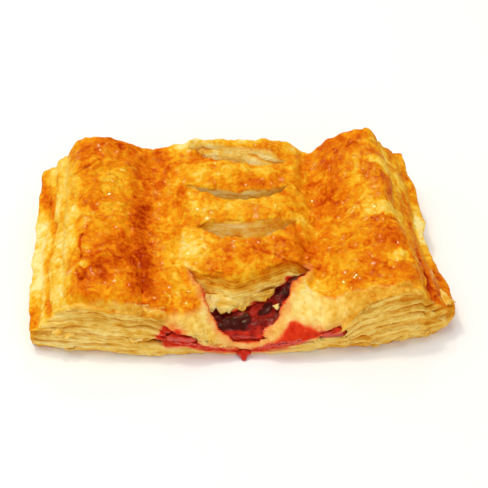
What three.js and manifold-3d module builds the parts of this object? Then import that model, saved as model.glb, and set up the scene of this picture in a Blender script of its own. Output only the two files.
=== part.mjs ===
// A baked puff pastry strip with a fruit filling, as a bakery sells it by the piece.
// Two sheets of layered dough lie one on the other round a flat bed of fruit. The sheet on top is
// slit across four times. Three slits show pale layers between domed bars, and the one at the front
// has sagged open like a mouth, so that the fruit shows over a thin lip of dough.
//
// Millimetres, +Z up. +X runs along the strip's length, -Y faces the open mouth.
// The origin is the middle of the bounding box, on the surface that the pastry lies on.

import * as THREE from "three";
import { mergeVertices } from "three/addons/utils/BufferGeometryUtils.js";
import Module from "manifold-3d";

// Plan of the whole piece
const LENGTH = 149.4; // over the ledges at both ends
const DEPTH = 95; // from the lip at the front to the back edge
const FRONT_BULGE_AT = 20; // x where the front stands out furthest
const FRONT_DRAWN_IN_LEFT = 10; // how far the left front corner lies behind that
const FRONT_DRAWN_IN_RIGHT = 9;
const BACK_DRAWN_IN = 1.5;
const LEFT_SLANT = 0.2; // how far the left end stands out more at the front than at the back
const RIGHT_HOLLOW = { y: -2, width: 24, depth: 4.2 }; // where the right end is drawn in
const RIGHT_DRAWN_IN = 4.2; // how far in the right end's back corner is
const CORNER_PULL = 0.02; // share by which the square corners are drawn in

// Heights
const MID_HEIGHT = 22.2; // of the slit sheet in the middle of the piece
const RISE_TO_BACK = 0.1; // millimetres of height for each millimetre towards the back
const SHOULDER_LEFT = { x: -53, inner: 16, outer: 12, rise: 4.6, more_at_back: 0.35, drift: 0 };
const SHOULDER_RIGHT = { x: 56, inner: 14, outer: 10, rise: 4.8, more_at_back: 0.1, drift: 0 };
const VALLEY_LEFT = { x: -30, inner: 10, outer: 7, rise: -2.4, more_at_back: 0, drift: 0 };
const VALLEY_RIGHT = { x: 28.5, inner: 5.5, outer: 6.5, rise: -4.6, more_at_back: 0.5, drift: 3 };
const BACK_DIP = { x: 14, inner: 10, outer: 9, rise: -0.8, more_at_back: 1, drift: 0 }; // of the bars, to the right
const END_EDGE_FRONT = 17; // height of the browned crust's edge at both ends
const END_EDGE_BACK = 23;
const BACK_EDGE_FALL = 2.6; // of the sheet, where it rounds over to the back face
const END_ROLL = 9; // how far in from the ends the crust starts to round over
const BACK_ROLL = 3.4;

// The front edge of the crust: high at both shoulders, and sagging to a lip between them
const FRONT_EDGE = [
  { x: -74, z: 17.5 },
  { x: -56, z: 18.6 },
  { x: -33, z: 16.4 },
  { x: -23, z: 12.2 },
  { x: -10, z: 6 },
  { x: 0, z: 4.2 },
  { x: 14, z: 7.8 },
  { x: 31, z: 10.8 },
  { x: 40, z: 18 },
  { x: 48, z: 20.6 },
  { x: 60, z: 21 },
  { x: 74, z: 18 },
];
const DROOP_FROM = -34;
const DROOP_FULL_FROM = -20;
const DROOP_FULL_TO = 30;
const DROOP_TO = 42;
const SHOULDER_ROLL = 4;
const DROOP_ROLL = 19;
const BAR_BEHIND = 4; // behind the middle of the mouth, where the last bar has its full height

// The sides, from the flat underside up: share of the height, and how far in the wall stands there
const SIDE_ROWS = 11;
const LEDGE_AT = 0.52; // share of the height where the upper block of the ends stands back
const LEDGE_CLIMB = 0.2; // how much higher than that the ledge lies at the back corners
const LEDGE_DEPTH = 3.6;
const END_SLOPE = 9.5; // how much further in the crust's edge is than the ledge's foot
const FRONT_SLOPE = 3.2;
const BACK_SLOPE = 1.4;
const FOOT_INSET = 0.8;
const FOOT_INSET_RIGHT = 7;
const FOLD_AT = 0.45; // the groove where the two sheets of dough meet
const FOLD_DEPTH = 1.2;
const OVERHANG = 0.8; // of the crust over the layers just under it
const LIP_OVERHANG = 1.1; // of the sagging sheet over the sheet below
const LAYER_RELIEF = 0.6;

// Slits, cut through the crust of the upper sheet. tip_y is where both ends lie, bow how far the
// middle of the slit is pushed to the front, open its half width, and lean how far it slants back.
const SLITS = [
  { tip_y: 35.7, skew: -0.117, from: -16.4, to: 22, bow: 2.3, open: 3.1, lean: 0.75 },
  { tip_y: 18.8, skew: -0.064, from: -18.0, to: 21.4, bow: 5.6, open: 2.2, lean: 0.3 },
  { tip_y: 0, skew: 0.033, from: -15.4, to: 22.4, bow: 5.8, open: 4.3, lean: 0.3 },
];
const SLIT_FLOOR = 14.6;
const BAR_DOME = 2.2;
const BAR_HALF_SPAN = 24; // from the middle line to where the bars run into the shoulders
const BAR_MIDDLE = 2;

// The mouth at the front, as it lies at one height, slanting back above it
const MOUTH = { left: -19.6, left_y: -27, right: 24.5, right_y: -26.5, middle: -3, height: 10, lean: 0.68, floor: 5.4 };
const ROOF = { y: -36, left: 1.6, right: 0.85 }; // front face of the last bar, bowed by these powers
const LIP = { y: -42.4, left: 3, right: 3.4 }; // inner edge of the lip

// The fruit bed
const BED_LEFT = -42;
const BED_RIGHT = 42;
const BED_BACK = 36;
const BED_FLOOR = 5.4;
const BED_TOP = 11.2;
const BED_EDGE = 7.6; // height of its rim
const BED_RAMP = 11; // how far in from the rim the bed is at its full height
const BED_AT_LIP = 6.3; // height of the fruit where it meets the lip
const BED_BEHIND_LIP = 4; // how far in front of the lip's edge the fruit starts to climb
const BED_BEHIND_ROOF = 4; // and how far behind the roof's edge it is at its full height
const BED_FRONT_INSET = 2.6; // behind the front edge of the plan, in the middle
const LEAK_INSET = 0; // and where the fruit shows at the face, under the sagging sheet
const LEAKS = [
  { x: -22.5, width: 7 },
  { x: 29, width: 6 },
];
const LEAK_RISE = 2.4; // of the bed's rim there
const LEAK_FLOOR_RISE = 2; // and of its floor
const LEAK_REACH = 14; // how far behind the front that is felt
const RISES = [
  { x: 19, y: -27, width: 8, rise: 4.6 },
  { x: -16, y: -27, width: 6, rise: 2 },
]; // where the fruit is pushed up into the corners of the mouth
const FRUIT_SIZE = 9; // of one lump in the bed
const FRUIT_RELIEF = 0.9;
const CHERRIES = [
  { x: -3.4, y: -38.2, z: 4.6, radius: 5.4 },
  { x: 14.6, y: -32.4, z: 6.4, radius: 4.4 },
];
const CLEARANCE = 0.3; // between the bed and the dough

// Flakes that stand out of the layers: where the root lies, size, which way the tip points (turn in
// plan from +X, and tilt above the level), in degrees
const FLAKES = [
  { x: -35.6, y: -37.4, z: 17.4, length: 5.4, width: 4.6, turn: -92, tilt: -70 },
  { x: -9, y: -31, z: 12.6, length: 6, width: 6, turn: -110, tilt: -20 },
  { x: -3.5, y: -31.5, z: 13.6, length: 5.6, width: 5, turn: -60, tilt: -8 },
  { x: 66.8, y: -33, z: 10.6, length: 8, width: 8, turn: -40, tilt: 2 },
  { x: 64.6, y: -35.5, z: 7, length: 7, width: 8, turn: -52, tilt: -4 },
  { x: 59.6, y: -39, z: 3, length: 6, width: 8, turn: -55, tilt: 0 },
  { x: -66, y: -33, z: 5.6, length: 6, width: 8, turn: -130, tilt: 6 },
  { x: -57, y: -36.5, z: 3.4, length: 5.6, width: 7, turn: -100, tilt: -6 },
  { x: -44, y: -37.5, z: 11.4, length: 4.6, width: 9, turn: -90, tilt: 2 },
  { x: 46, y: -40, z: 8.6, length: 5.4, width: 10, turn: -85, tilt: 0 },
];
const FLAKE_THICKNESS = 0.9;

// A drop of juice that has run out under the lip
const DROP = { x: -1.6, width: 3.5, length: 3.8, height: 1.9, gap: 0.3 };

const DOUGH = new THREE.MeshStandardMaterial({ color: 0xd98a2b, roughness: 0.55, metalness: 0 });
const FRUIT = new THREE.MeshStandardMaterial({ color: 0x7a1018, roughness: 0.2, metalness: 0 });
const JUICE = new THREE.MeshStandardMaterial({ color: 0xc9281a, roughness: 0.2, metalness: 0 });

const wasm = await Module();
wasm.setup();

const { lerp, clamp, smoothstep } = THREE.MathUtils;
const bump = (t) => Math.exp(-t * t);

// A repeatable number from 0 to 1 for one cell of a grid.
function cellNumber(i, j) {
  const wave = Math.sin(i * 127.1 + j * 311.7) * 4375.85;
  return wave - Math.floor(wave);
}

// Smooth unevenness from -1 to 1, with one swell for each unit of a and b.
function uneven(a, b) {
  const i = Math.floor(a);
  const j = Math.floor(b);
  const s = smoothstep(a - i, 0, 1);
  const t = smoothstep(b - j, 0, 1);
  const near = lerp(cellNumber(i, j), cellNumber(i + 1, j), s);
  const far = lerp(cellNumber(i, j + 1), cellNumber(i + 1, j + 1), s);
  return 2 * lerp(near, far, t) - 1;
}

// The plan's front edge at x: a shallow bow, drawn in more at the left corner.
function frontEdge(x) {
  const left = FRONT_DRAWN_IN_LEFT * Math.max(0, (FRONT_BULGE_AT - x) / (LENGTH / 2 + FRONT_BULGE_AT)) ** 2;
  const right = FRONT_DRAWN_IN_RIGHT * Math.max(0, (x - FRONT_BULGE_AT) / (LENGTH / 2 - FRONT_BULGE_AT)) ** 3;
  return -DEPTH / 2 + left + right + 0.4 * uneven(x / 9, 3.5);
}

// The other three edges of the plan, where y is given for the ends.
const backEdge = (x) => DEPTH / 2 - BACK_DRAWN_IN * (x / (LENGTH / 2)) ** 2 + 0.5 * uneven(x / 11, 8.2);
const leftEdge = (y) => -LENGTH / 2 + LEFT_SLANT * (1 + y / (DEPTH / 2)) + 0.5 * uneven(y / 14, 1.7);
function rightEdge(y) {
  const hollow = RIGHT_HOLLOW.depth * bump((y - RIGHT_HOLLOW.y) / RIGHT_HOLLOW.width);
  return LENGTH / 2 - hollow - RIGHT_DRAWN_IN * smoothstep(y, 4, DEPTH / 2) + 0.4 * uneven(y / 12, 5.1);
}

// How much of the droop of the front edge is felt at x, from 0 at the shoulders to 1.
const droop = (x) => smoothstep(x, DROOP_FROM, DROOP_FULL_FROM) * (1 - smoothstep(x, DROOP_FULL_TO, DROOP_TO));

// Height of the crust's front edge at x.
function frontEdgeHeight(x) {
  const last = FRONT_EDGE.length - 1;
  const k = clamp(FRONT_EDGE.findIndex((stop) => stop.x > x) - 1, 0, last - 1);
  const [a, b] = x >= FRONT_EDGE[last].x ? FRONT_EDGE.slice(-2) : FRONT_EDGE.slice(k, k + 2);
  return lerp(a.z, b.z, smoothstep(x, a.x, b.x));
}

// The middle line of a slit at x, and its half width there.
function slitLine(slit, x) {
  const half = (slit.to - slit.from) / 2;
  const q = clamp((x - (slit.from + half)) / half, -1, 1);
  return { y: slit.tip_y + slit.skew * x - slit.bow * (1 - q * q), open: slit.open * (1 - q * q) ** 0.8 };
}

// Dome of the bars between the slits, 1 on a bar's crest and 0 at its edges.
function barDome(x, y) {
  const across = 1 - smoothstep(Math.abs(x - BAR_MIDDLE), BAR_HALF_SPAN / 2, BAR_HALF_SPAN);
  const edges = [DEPTH / 2, ...SLITS.map((slit) => slitLine(slit, x).y), mouthLine(x, ROOF) + 2];
  for (let k = 0; k + 1 < edges.length; k += 1) {
    if (y <= edges[k] && y > edges[k + 1]) {
      const t = (2 * (y - edges[k + 1])) / (edges[k] - edges[k + 1]) - 1;
      return across * (1 - t * t);
    }
  }
  return 0;
}

// A long swell from front to back, with its own width on each side.
function swell(form, x, y) {
  const back = y / (DEPTH / 2);
  const off = x - (form.x + form.drift * back);
  const width = Math.sign(off) === Math.sign(form.x) ? form.outer : form.inner;
  return form.rise * (1 + form.more_at_back * back) * bump(off / width);
}

// Height of the slit sheet before its edges round over.
function sheetHeight(x, y) {
  const swells = [SHOULDER_LEFT, SHOULDER_RIGHT, VALLEY_LEFT, VALLEY_RIGHT, BACK_DIP];
  const long = swells.reduce((sum, form) => sum + swell(form, x, y), 0);
  const short = 0.55 * uneven(x / 8, y / 8) + 0.3 * uneven(x / 3.5 + 40, y / 3.5);
  return MID_HEIGHT + RISE_TO_BACK * y + long + BAR_DOME * barDome(x, y) + short;
}

// A quarter round from 0 at the edge to 1 at the far side of the roll.
const quarterRound = (t) => Math.sqrt(1 - (1 - clamp(t, 0, 1)) ** 2);

// How far in from the plan's edge the wall stands, at a share of its height, on an end and on the
// front or back.
function endInset(share, x, y) {
  const foot = x > 0 ? lerp(FOOT_INSET, FOOT_INSET_RIGHT, smoothstep(-y, 0, DEPTH / 2)) : FOOT_INSET;
  const under = foot * (1 - smoothstep(share, 0, 0.36));
  const at = LEDGE_AT + LEDGE_CLIMB * smoothstep(y, 0, DEPTH / 2);
  const ledge = LEDGE_DEPTH * smoothstep(share, at - 0.03, at + 0.05);
  const slope = END_SLOPE * smoothstep(share, at, 1.15);
  return under + ledge + slope + relief(share, y + 300);
}

function faceInset(share, x, y, shallow) {
  const under = FOOT_INSET * (1 - smoothstep(share, 0, 0.12));
  const slope = (y < 0 ? FRONT_SLOPE : BACK_SLOPE) * smoothstep(share, 0.4, 1);
  const fold = FOLD_DEPTH * bump((share - FOLD_AT) / 0.05);
  const overhang = OVERHANG * smoothstep(share, 0.66, 0.8) * (1 - smoothstep(share, 0.9, 1));
  const lip = LIP_OVERHANG * (1 - smoothstep(share, 0.4, 0.6));
  return under + lerp(slope + fold + overhang, lip, shallow) + relief(share, x) * (1 - 0.5 * shallow);
}

// Layers of dough that stand in and out at random.
const relief = (share, along) => LAYER_RELIEF * uneven(along / 13, Math.round(share * SIDE_ROWS) * 2.5);

// A point of the plan: u and v run from -1 to 1, and both insets are taken off the edges.
function planPoint(u, v, share) {
  const x0 = (u * LENGTH) / 2;
  const y0 = (v * DEPTH) / 2;
  const shallow = v < 0 ? droop(x0) : 0;
  const ends = endInset(share, x0, y0);
  const faces = faceInset(share, x0, y0, shallow);
  const x = lerp(leftEdge(y0) + ends, rightEdge(y0) - ends, (u + 1) / 2);
  const y = lerp(frontEdge(x0) + faces, backEdge(x0) - faces, (v + 1) / 2);
  const pull = 1 - CORNER_PULL * (u * v) ** 4;
  return { x: x * pull, y: y * pull };
}

// Height of the top at a point of the plan: the sheet, rounded over towards each edge.
function topHeight(u, v) {
  const { x, y } = planPoint(u, v, 1);
  const sheet = sheetHeight(x, y);
  const hang = droop(x);
  const fromFront = ((v + 1) * DEPTH) / 2;
  const fromBack = ((1 - v) * DEPTH) / 2;
  const fromEnd = ((1 - Math.abs(u)) * LENGTH) / 2;
  const t = fromFront / lerp(SHOULDER_ROLL, DROOP_ROLL, hang);
  const lip = lerp(quarterRound(t), clamp(t, 0, 1), hang * bump((x - BAR_MIDDLE) / 20));
  const middle = (mouthLine(x, LIP) + mouthLine(x, ROOF)) / 2;
  const over = x > MOUTH.left && x < MOUTH.right;
  const front = over ? lerp(lip, 1, smoothstep(y, middle, middle + BAR_BEHIND)) : lip;
  const roundedFront = lerp(frontEdgeHeight(x), sheet, front);
  const rounded = roundedFront - BACK_EDGE_FALL * (1 - quarterRound(fromBack / BACK_ROLL));
  const endEdge = lerp(END_EDGE_FRONT, END_EDGE_BACK, (v + 1) / 2);
  return lerp(Math.min(endEdge, rounded - 1), rounded, quarterRound(fromEnd / END_ROLL));
}

// A closed geometry from points [x, y, z] and triangles of their numbers.
function geometryOf(points, triangles) {
  const geometry = new THREE.BufferGeometry();
  geometry.setAttribute("position", new THREE.Float32BufferAttribute(points.flat(), 3));
  geometry.setIndex(triangles.flat());
  geometry.computeVertexNormals();
  return geometry;
}

// The walk round the edge of a grid of columns by rows, anticlockwise from above.
function rimWalk(columns, rows) {
  const walk = [];
  for (let i = 0; i < columns; i += 1) walk.push([i, 0]);
  for (let j = 0; j < rows; j += 1) walk.push([columns, j]);
  for (let i = columns; i > 0; i -= 1) walk.push([i, rows]);
  for (let j = rows; j > 0; j -= 1) walk.push([0, j]);
  return walk;
}

// Two triangles for each cell of a grid, where at(i, j) is the number of a point.
function gridTriangles(columns, rows, at, up) {
  const triangles = [];
  for (let i = 0; i < columns; i += 1) {
    for (let j = 0; j < rows; j += 1) {
      const [a, b, c, d] = [at(i, j), at(i + 1, j), at(i + 1, j + 1), at(i, j + 1)];
      triangles.push(...(up ? [[a, b, c], [a, c, d]] : [[a, c, b], [a, d, c]]));
    }
  }
  return triangles;
}

// Triangles, seen from below, of the flat foot inside an anticlockwise rim of points.
function footTriangles(points, rim) {
  const outline = rim.map((n) => new THREE.Vector2(points[n][0], points[n][1]));
  return THREE.ShapeUtils.triangulateShape(outline, []).map(([a, b, c]) => [rim[a], rim[c], rim[b]]);
}

// The dough before it is cut: a domed top, layered sides and a flat underside.
function doughBlock() {
  const columns = 50;
  const rows = 32;
  const points = [];
  const at = (i, j) => i * (rows + 1) + j;
  for (let i = 0; i <= columns; i += 1) {
    for (let j = 0; j <= rows; j += 1) {
      const u = (2 * i) / columns - 1;
      const v = (2 * j) / rows - 1;
      const { x, y } = planPoint(u, v, 1);
      points.push([x, y, topHeight(u, v)]);
    }
  }
  const triangles = gridTriangles(columns, rows, at, true);
  const walk = rimWalk(columns, rows);
  let above = walk.map(([i, j]) => at(i, j));
  for (let row = SIDE_ROWS - 1; row >= 0; row -= 1) {
    const share = row / SIDE_ROWS;
    const below = walk.map(([i, j]) => {
      const u = (2 * i) / columns - 1;
      const v = (2 * j) / rows - 1;
      const { x, y } = planPoint(u, v, share);
      points.push([x, y, share * topHeight(u, v)]);
      return points.length - 1;
    });
    above.forEach((top, k) => {
      const next = (k + 1) % above.length;
      triangles.push([top, below[k], below[next]], [top, below[next], above[next]]);
    });
    above = below;
  }
  triangles.push(...footTriangles(points, above));
  return geometryOf(points, triangles);
}

// An upright cutter over a plan, leaning back by lean for each millimetre above the height given.
function leaningCutter(plan, floor, height, lean) {
  const tall = 45;
  const geometry = new THREE.ExtrudeGeometry(new THREE.Shape(plan), { depth: tall, bevelEnabled: false });
  const slant = new THREE.Matrix4().set(1, 0, 0, 0, 0, 1, lean, lean * (floor - height), 0, 0, 1, floor, 0, 0, 0, 1);
  return geometry.applyMatrix4(slant);
}

// A slit: a thin lens in plan.
function slitCutter(slit) {
  const steps = 16;
  const plan = [];
  for (let k = 0; k < steps; k += 1) {
    const x = lerp(slit.from, slit.to, k / steps);
    const line = slitLine(slit, x);
    plan.push(new THREE.Vector2(x, line.y - line.open));
  }
  for (let k = steps; k > 0; k -= 1) {
    const x = lerp(slit.from, slit.to, k / steps);
    const line = slitLine(slit, x);
    plan.push(new THREE.Vector2(x, line.y + line.open));
  }
  return leaningCutter(plan, SLIT_FLOOR, MID_HEIGHT, slit.lean);
}

// The roof or the lip of the mouth at x: a bow from one corner of the mouth to the other.
function mouthLine(x, edge) {
  const left = x < MOUTH.middle;
  const reach = left ? MOUTH.middle - MOUTH.left : MOUTH.right - MOUTH.middle;
  const corner = left ? MOUTH.left_y : MOUTH.right_y;
  const q = clamp(Math.abs(x - MOUTH.middle) / reach, 0, 1);
  return lerp(edge.y, corner, q ** (left ? edge.left : edge.right));
}

function mouthCutter() {
  const steps = 18;
  const plan = [];
  for (let k = 0; k < steps; k += 1) {
    const x = lerp(MOUTH.left, MOUTH.right, k / steps);
    plan.push(new THREE.Vector2(x, mouthLine(x, LIP)));
  }
  for (let k = steps; k > 0; k -= 1) {
    const x = lerp(MOUTH.left, MOUTH.right, k / steps);
    plan.push(new THREE.Vector2(x, mouthLine(x, ROOF)));
  }
  return leaningCutter(plan, MOUTH.floor, MOUTH.height, MOUTH.lean);
}

// How far a place along the front belongs to a leak, from 0 to 1.
function leaking(x) {
  const most = LEAKS.reduce((so_far, leak) => Math.max(so_far, bump((x - leak.x) / leak.width)), 0);
  return smoothstep(most, 0.1, 0.9);
}

// The same, felt less and less further back.
const leakAt = (x, y) => leaking(x) * (1 - smoothstep(y, -DEPTH / 2 + LEAK_REACH / 2, -DEPTH / 2 + LEAK_REACH));

// Front edge of the fruit bed: behind the lip in the middle, and out to the face at both leaks.
const bedFront = (x) => frontEdge(x) + lerp(BED_FRONT_INSET, LEAK_INSET, leaking(x));

// Height of the fruit: a low crown with a lumpy face, dipping to the lip inside the mouth, where
// two cherries stand out.
function bedHeight(x, y) {
  const inside = Math.min(x - BED_LEFT, BED_RIGHT - x, y - bedFront(x), BED_BACK - y);
  const crown = smoothstep(inside, 0.5, BED_RAMP);
  const lumps = FRUIT_RELIEF * crown * uneven((2 * x) / FRUIT_SIZE, (2 * y) / FRUIT_SIZE);
  const pushed = RISES.reduce((sum, r) => sum + r.rise * bump(Math.hypot(x - r.x, y - r.y) / r.width), 0);
  const edge = BED_EDGE + LEAK_RISE * leakAt(x, y);
  const bed = lerp(edge, BED_TOP, crown) + lumps + pushed;
  const within = smoothstep(x, MOUTH.left, MOUTH.left + 5) * (1 - smoothstep(x, MOUTH.right - 5, MOUTH.right));
  const climb = mouthLine(x, ROOF) - mouthLine(x, LIP) + BED_BEHIND_LIP + BED_BEHIND_ROOF;
  const lipToRoof = (y - mouthLine(x, LIP) + BED_BEHIND_LIP) / climb;
  const dip = lerp(BED_AT_LIP, BED_TOP, clamp(lipToRoof, 0, 1)) + 0.4 * lumps + pushed;
  const caps = CHERRIES.map((cherry) => {
    const off = Math.hypot(x - cherry.x, y - cherry.y) / cherry.radius;
    return off < 1 ? cherry.z + cherry.radius * Math.sqrt(1 - off * off) * 0.8 : 0;
  });
  return Math.max(lerp(bed, Math.min(bed, dip), within), ...caps);
}

// The fruit bed, grown by a clearance when it is used to hollow the dough.
function fruitBed(grow) {
  const columns = 34;
  const rows = 22;
  const points = [];
  const at = (i, j) => i * (rows + 1) + j;
  for (let i = 0; i <= columns; i += 1) {
    for (let j = 0; j <= rows; j += 1) {
      const s = i / columns;
      const t = (j / rows) ** 1.3;
      const x = lerp(BED_LEFT, BED_RIGHT, s);
      const y = lerp(bedFront(x), BED_BACK, t);
      points.push([x + grow * (2 * s - 1), y + grow * (2 * t - 1), bedHeight(x, y) + grow]);
    }
  }
  const triangles = gridTriangles(columns, rows, at, true);
  const rim = rimWalk(columns, rows).map(([i, j]) => at(i, j));
  const foot = rim.map((n) => {
    const [x, y] = points[n];
    return points.push([x, y, BED_FLOOR + LEAK_FLOOR_RISE * leakAt(x, y) - grow]) - 1;
  });
  rim.forEach((n, k) => {
    const next = (k + 1) % rim.length;
    triangles.push([n, foot[k], foot[next]], [n, foot[next], rim[next]]);
  });
  triangles.push(...footTriangles(points, foot));
  return geometryOf(points, triangles);
}

// A drop: a low round blob with a flat foot, drawn out towards the front.
function juiceDrop() {
  const profile = [];
  for (let k = 0; k <= 6; k += 1) {
    const turn = (k / 6) * (Math.PI / 2);
    profile.push(new THREE.Vector2(Math.cos(turn) / 2, Math.sin(turn)));
  }
  profile[6].x = 0;
  profile.unshift(new THREE.Vector2(0, 0));
  const drop = new THREE.LatheGeometry(profile, 14).rotateX(Math.PI / 2);
  return drop.scale(DROP.width, DROP.length, DROP.height);
}

// A flake: a thin slab that narrows to a crooked tip.
function flake({ x, y, z, length, width, turn, tilt }) {
  const plan = new THREE.Shape([
    new THREE.Vector2(0, -width / 2),
    new THREE.Vector2(length * 0.7, -width * 0.34),
    new THREE.Vector2(length, width * 0.1),
    new THREE.Vector2(length * 0.75, width * 0.3),
    new THREE.Vector2(0, width / 2),
  ]);
  const slab = new THREE.ExtrudeGeometry(plan, { depth: FLAKE_THICKNESS, bevelEnabled: false });
  slab.rotateY(THREE.MathUtils.degToRad(-tilt)).rotateZ(THREE.MathUtils.degToRad(turn));
  return slab.translate(x, y, z);
}

// Turns a closed geometry into a solid that can be joined and cut.
function solidOf(geometry) {
  const bare = geometry.clone();
  bare.deleteAttribute("normal");
  bare.deleteAttribute("uv");
  const merged = mergeVertices(bare, 1e-4);
  return new wasm.Manifold(
    new wasm.Mesh({
      numProp: 3,
      vertProperties: merged.attributes.position.array,
      triVerts: new Uint32Array(merged.index.array),
    }),
  );
}

// The named mesh of a solid.
function meshOf(solid, name, material) {
  const { numProp, vertProperties, triVerts } = solid.getMesh();
  const points = [];
  for (let k = 0; k < vertProperties.length; k += numProp) points.push([...vertProperties.slice(k, k + 3)]);
  const mesh = new THREE.Mesh(geometryOf(points, [Array.from(triVerts)]), material);
  mesh.name = name;
  return mesh;
}

function pastry() {
  let dough = solidOf(doughBlock());
  for (const form of FLAKES) dough = dough.add(solidOf(flake(form)));
  for (const cutter of [...SLITS.map(slitCutter), mouthCutter(), fruitBed(CLEARANCE)]) {
    dough = dough.subtract(solidOf(cutter));
  }
  const biggest = dough.decompose().sort((a, b) => b.volume() - a.volume())[0];
  return meshOf(biggest, "pastry", DOUGH);
}

function filling() {
  return meshOf(solidOf(fruitBed(0)), "filling", FRUIT);
}

function drop() {
  const mesh = new THREE.Mesh(juiceDrop(), JUICE);
  mesh.name = "juice_drop";
  mesh.position.set(DROP.x, frontEdge(DROP.x) - DROP.length / 2 - DROP.gap, 0);
  return mesh;
}

const model = new THREE.Group();
model.add(pastry(), filling(), drop());

// The origin is moved to the middle of the bounding box, at its foot.
const box = new THREE.Box3().setFromObject(model, true);
for (const mesh of model.children) {
  mesh.position.x -= (box.min.x + box.max.x) / 2;
  mesh.position.y -= (box.min.y + box.max.y) / 2;
}

export default model;
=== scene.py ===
"""A baked puff pastry strip with a fruit filling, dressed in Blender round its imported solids.

The dough is one field of heights, walls, slits and layers, worked out in millimetres from named
sizes and turned into a mesh. The fruit, the juice and the loose flakes are made after it.
"""

import logging
import math
from dataclasses import dataclass, field
from enum import Enum

import bpy
import numpy as np
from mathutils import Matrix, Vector

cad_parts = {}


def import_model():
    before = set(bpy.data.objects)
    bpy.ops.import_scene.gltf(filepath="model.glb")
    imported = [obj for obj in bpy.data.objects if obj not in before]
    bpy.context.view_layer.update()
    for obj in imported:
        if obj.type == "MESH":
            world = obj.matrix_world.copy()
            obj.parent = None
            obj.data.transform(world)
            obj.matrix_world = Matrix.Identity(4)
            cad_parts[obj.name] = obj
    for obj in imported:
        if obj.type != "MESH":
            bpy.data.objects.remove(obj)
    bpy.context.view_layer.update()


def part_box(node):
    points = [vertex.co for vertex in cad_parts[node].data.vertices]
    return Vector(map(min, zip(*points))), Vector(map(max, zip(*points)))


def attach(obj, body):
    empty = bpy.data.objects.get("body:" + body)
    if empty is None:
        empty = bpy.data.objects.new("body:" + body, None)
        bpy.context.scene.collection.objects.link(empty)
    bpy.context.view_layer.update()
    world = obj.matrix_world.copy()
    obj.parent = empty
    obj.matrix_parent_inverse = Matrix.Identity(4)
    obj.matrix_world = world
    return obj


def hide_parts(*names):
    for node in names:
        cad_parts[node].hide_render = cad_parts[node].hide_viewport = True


LOG = logging.getLogger("pastry_strip")
MM = 0.001

Array = np.ndarray
Pair = tuple[Array, Array]
Fade = tuple[float, float]
Place = tuple[float, float, float]
Thing = bpy.types.Object
Socket = bpy.types.NodeSocket
Colour = tuple[int, int, int]
Stops = tuple[tuple[float, Colour], ...]
Value = float | tuple[float, ...] | Socket


class Node(Enum):
    """The solids of the frame that the pieces stand for."""

    PASTRY = "pastry"
    FILLING = "filling"
    DROP = "juice_drop"


class Slot(Enum):
    """The record's material slots."""

    DOUGH = "dough"
    FRUIT = "fruit"
    JUICE = "juice"


def ease(share: Array) -> Array:
    """Eases a share, so that it starts and ends without a bend."""
    return share * share * (3.0 - 2.0 * share)


def smooth(value: Array, low: float, high: float) -> Array:
    """Eases from 0 at low to 1 at high."""
    return ease(np.clip((value - low) / (high - low), 0.0, 1.0))


def bell(value: Array) -> Array:
    """A bell curve of height 1."""
    return np.exp(-value * value)


def mix(low: Array, high: Array, share: Array) -> Array:
    """Goes from low to high by a share."""
    return low + (high - low) * share


def quarter_round(t: Array) -> Array:
    """A quarter circle that rises from 0 at the edge to 1 at the far side of a roll."""
    return np.sqrt(1.0 - (1.0 - np.clip(t, 0.0, 1.0)) ** 2)


def cell_number(i: Array, j: Array) -> Array:
    """A repeatable number from 0 to 1 for one cell of a grid, as the solids have it."""
    wave = np.sin(i * 127.1 + j * 311.7) * 4375.85
    return wave - np.floor(wave)


def uneven(a: Array, b: Array) -> Array:
    """Smooth unevenness from -1 to 1 with one swell for each unit, as the solids have it."""
    a, b = np.broadcast_arrays(np.asarray(a, float), np.asarray(b, float))
    i, j = np.floor(a), np.floor(b)
    s, t = smooth(a - i, 0, 1), smooth(b - j, 0, 1)
    near = mix(cell_number(i, j), cell_number(i + 1, j), s)
    far = mix(cell_number(i, j + 1), cell_number(i + 1, j + 1), s)
    return 2 * mix(near, far, t) - 1


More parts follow.
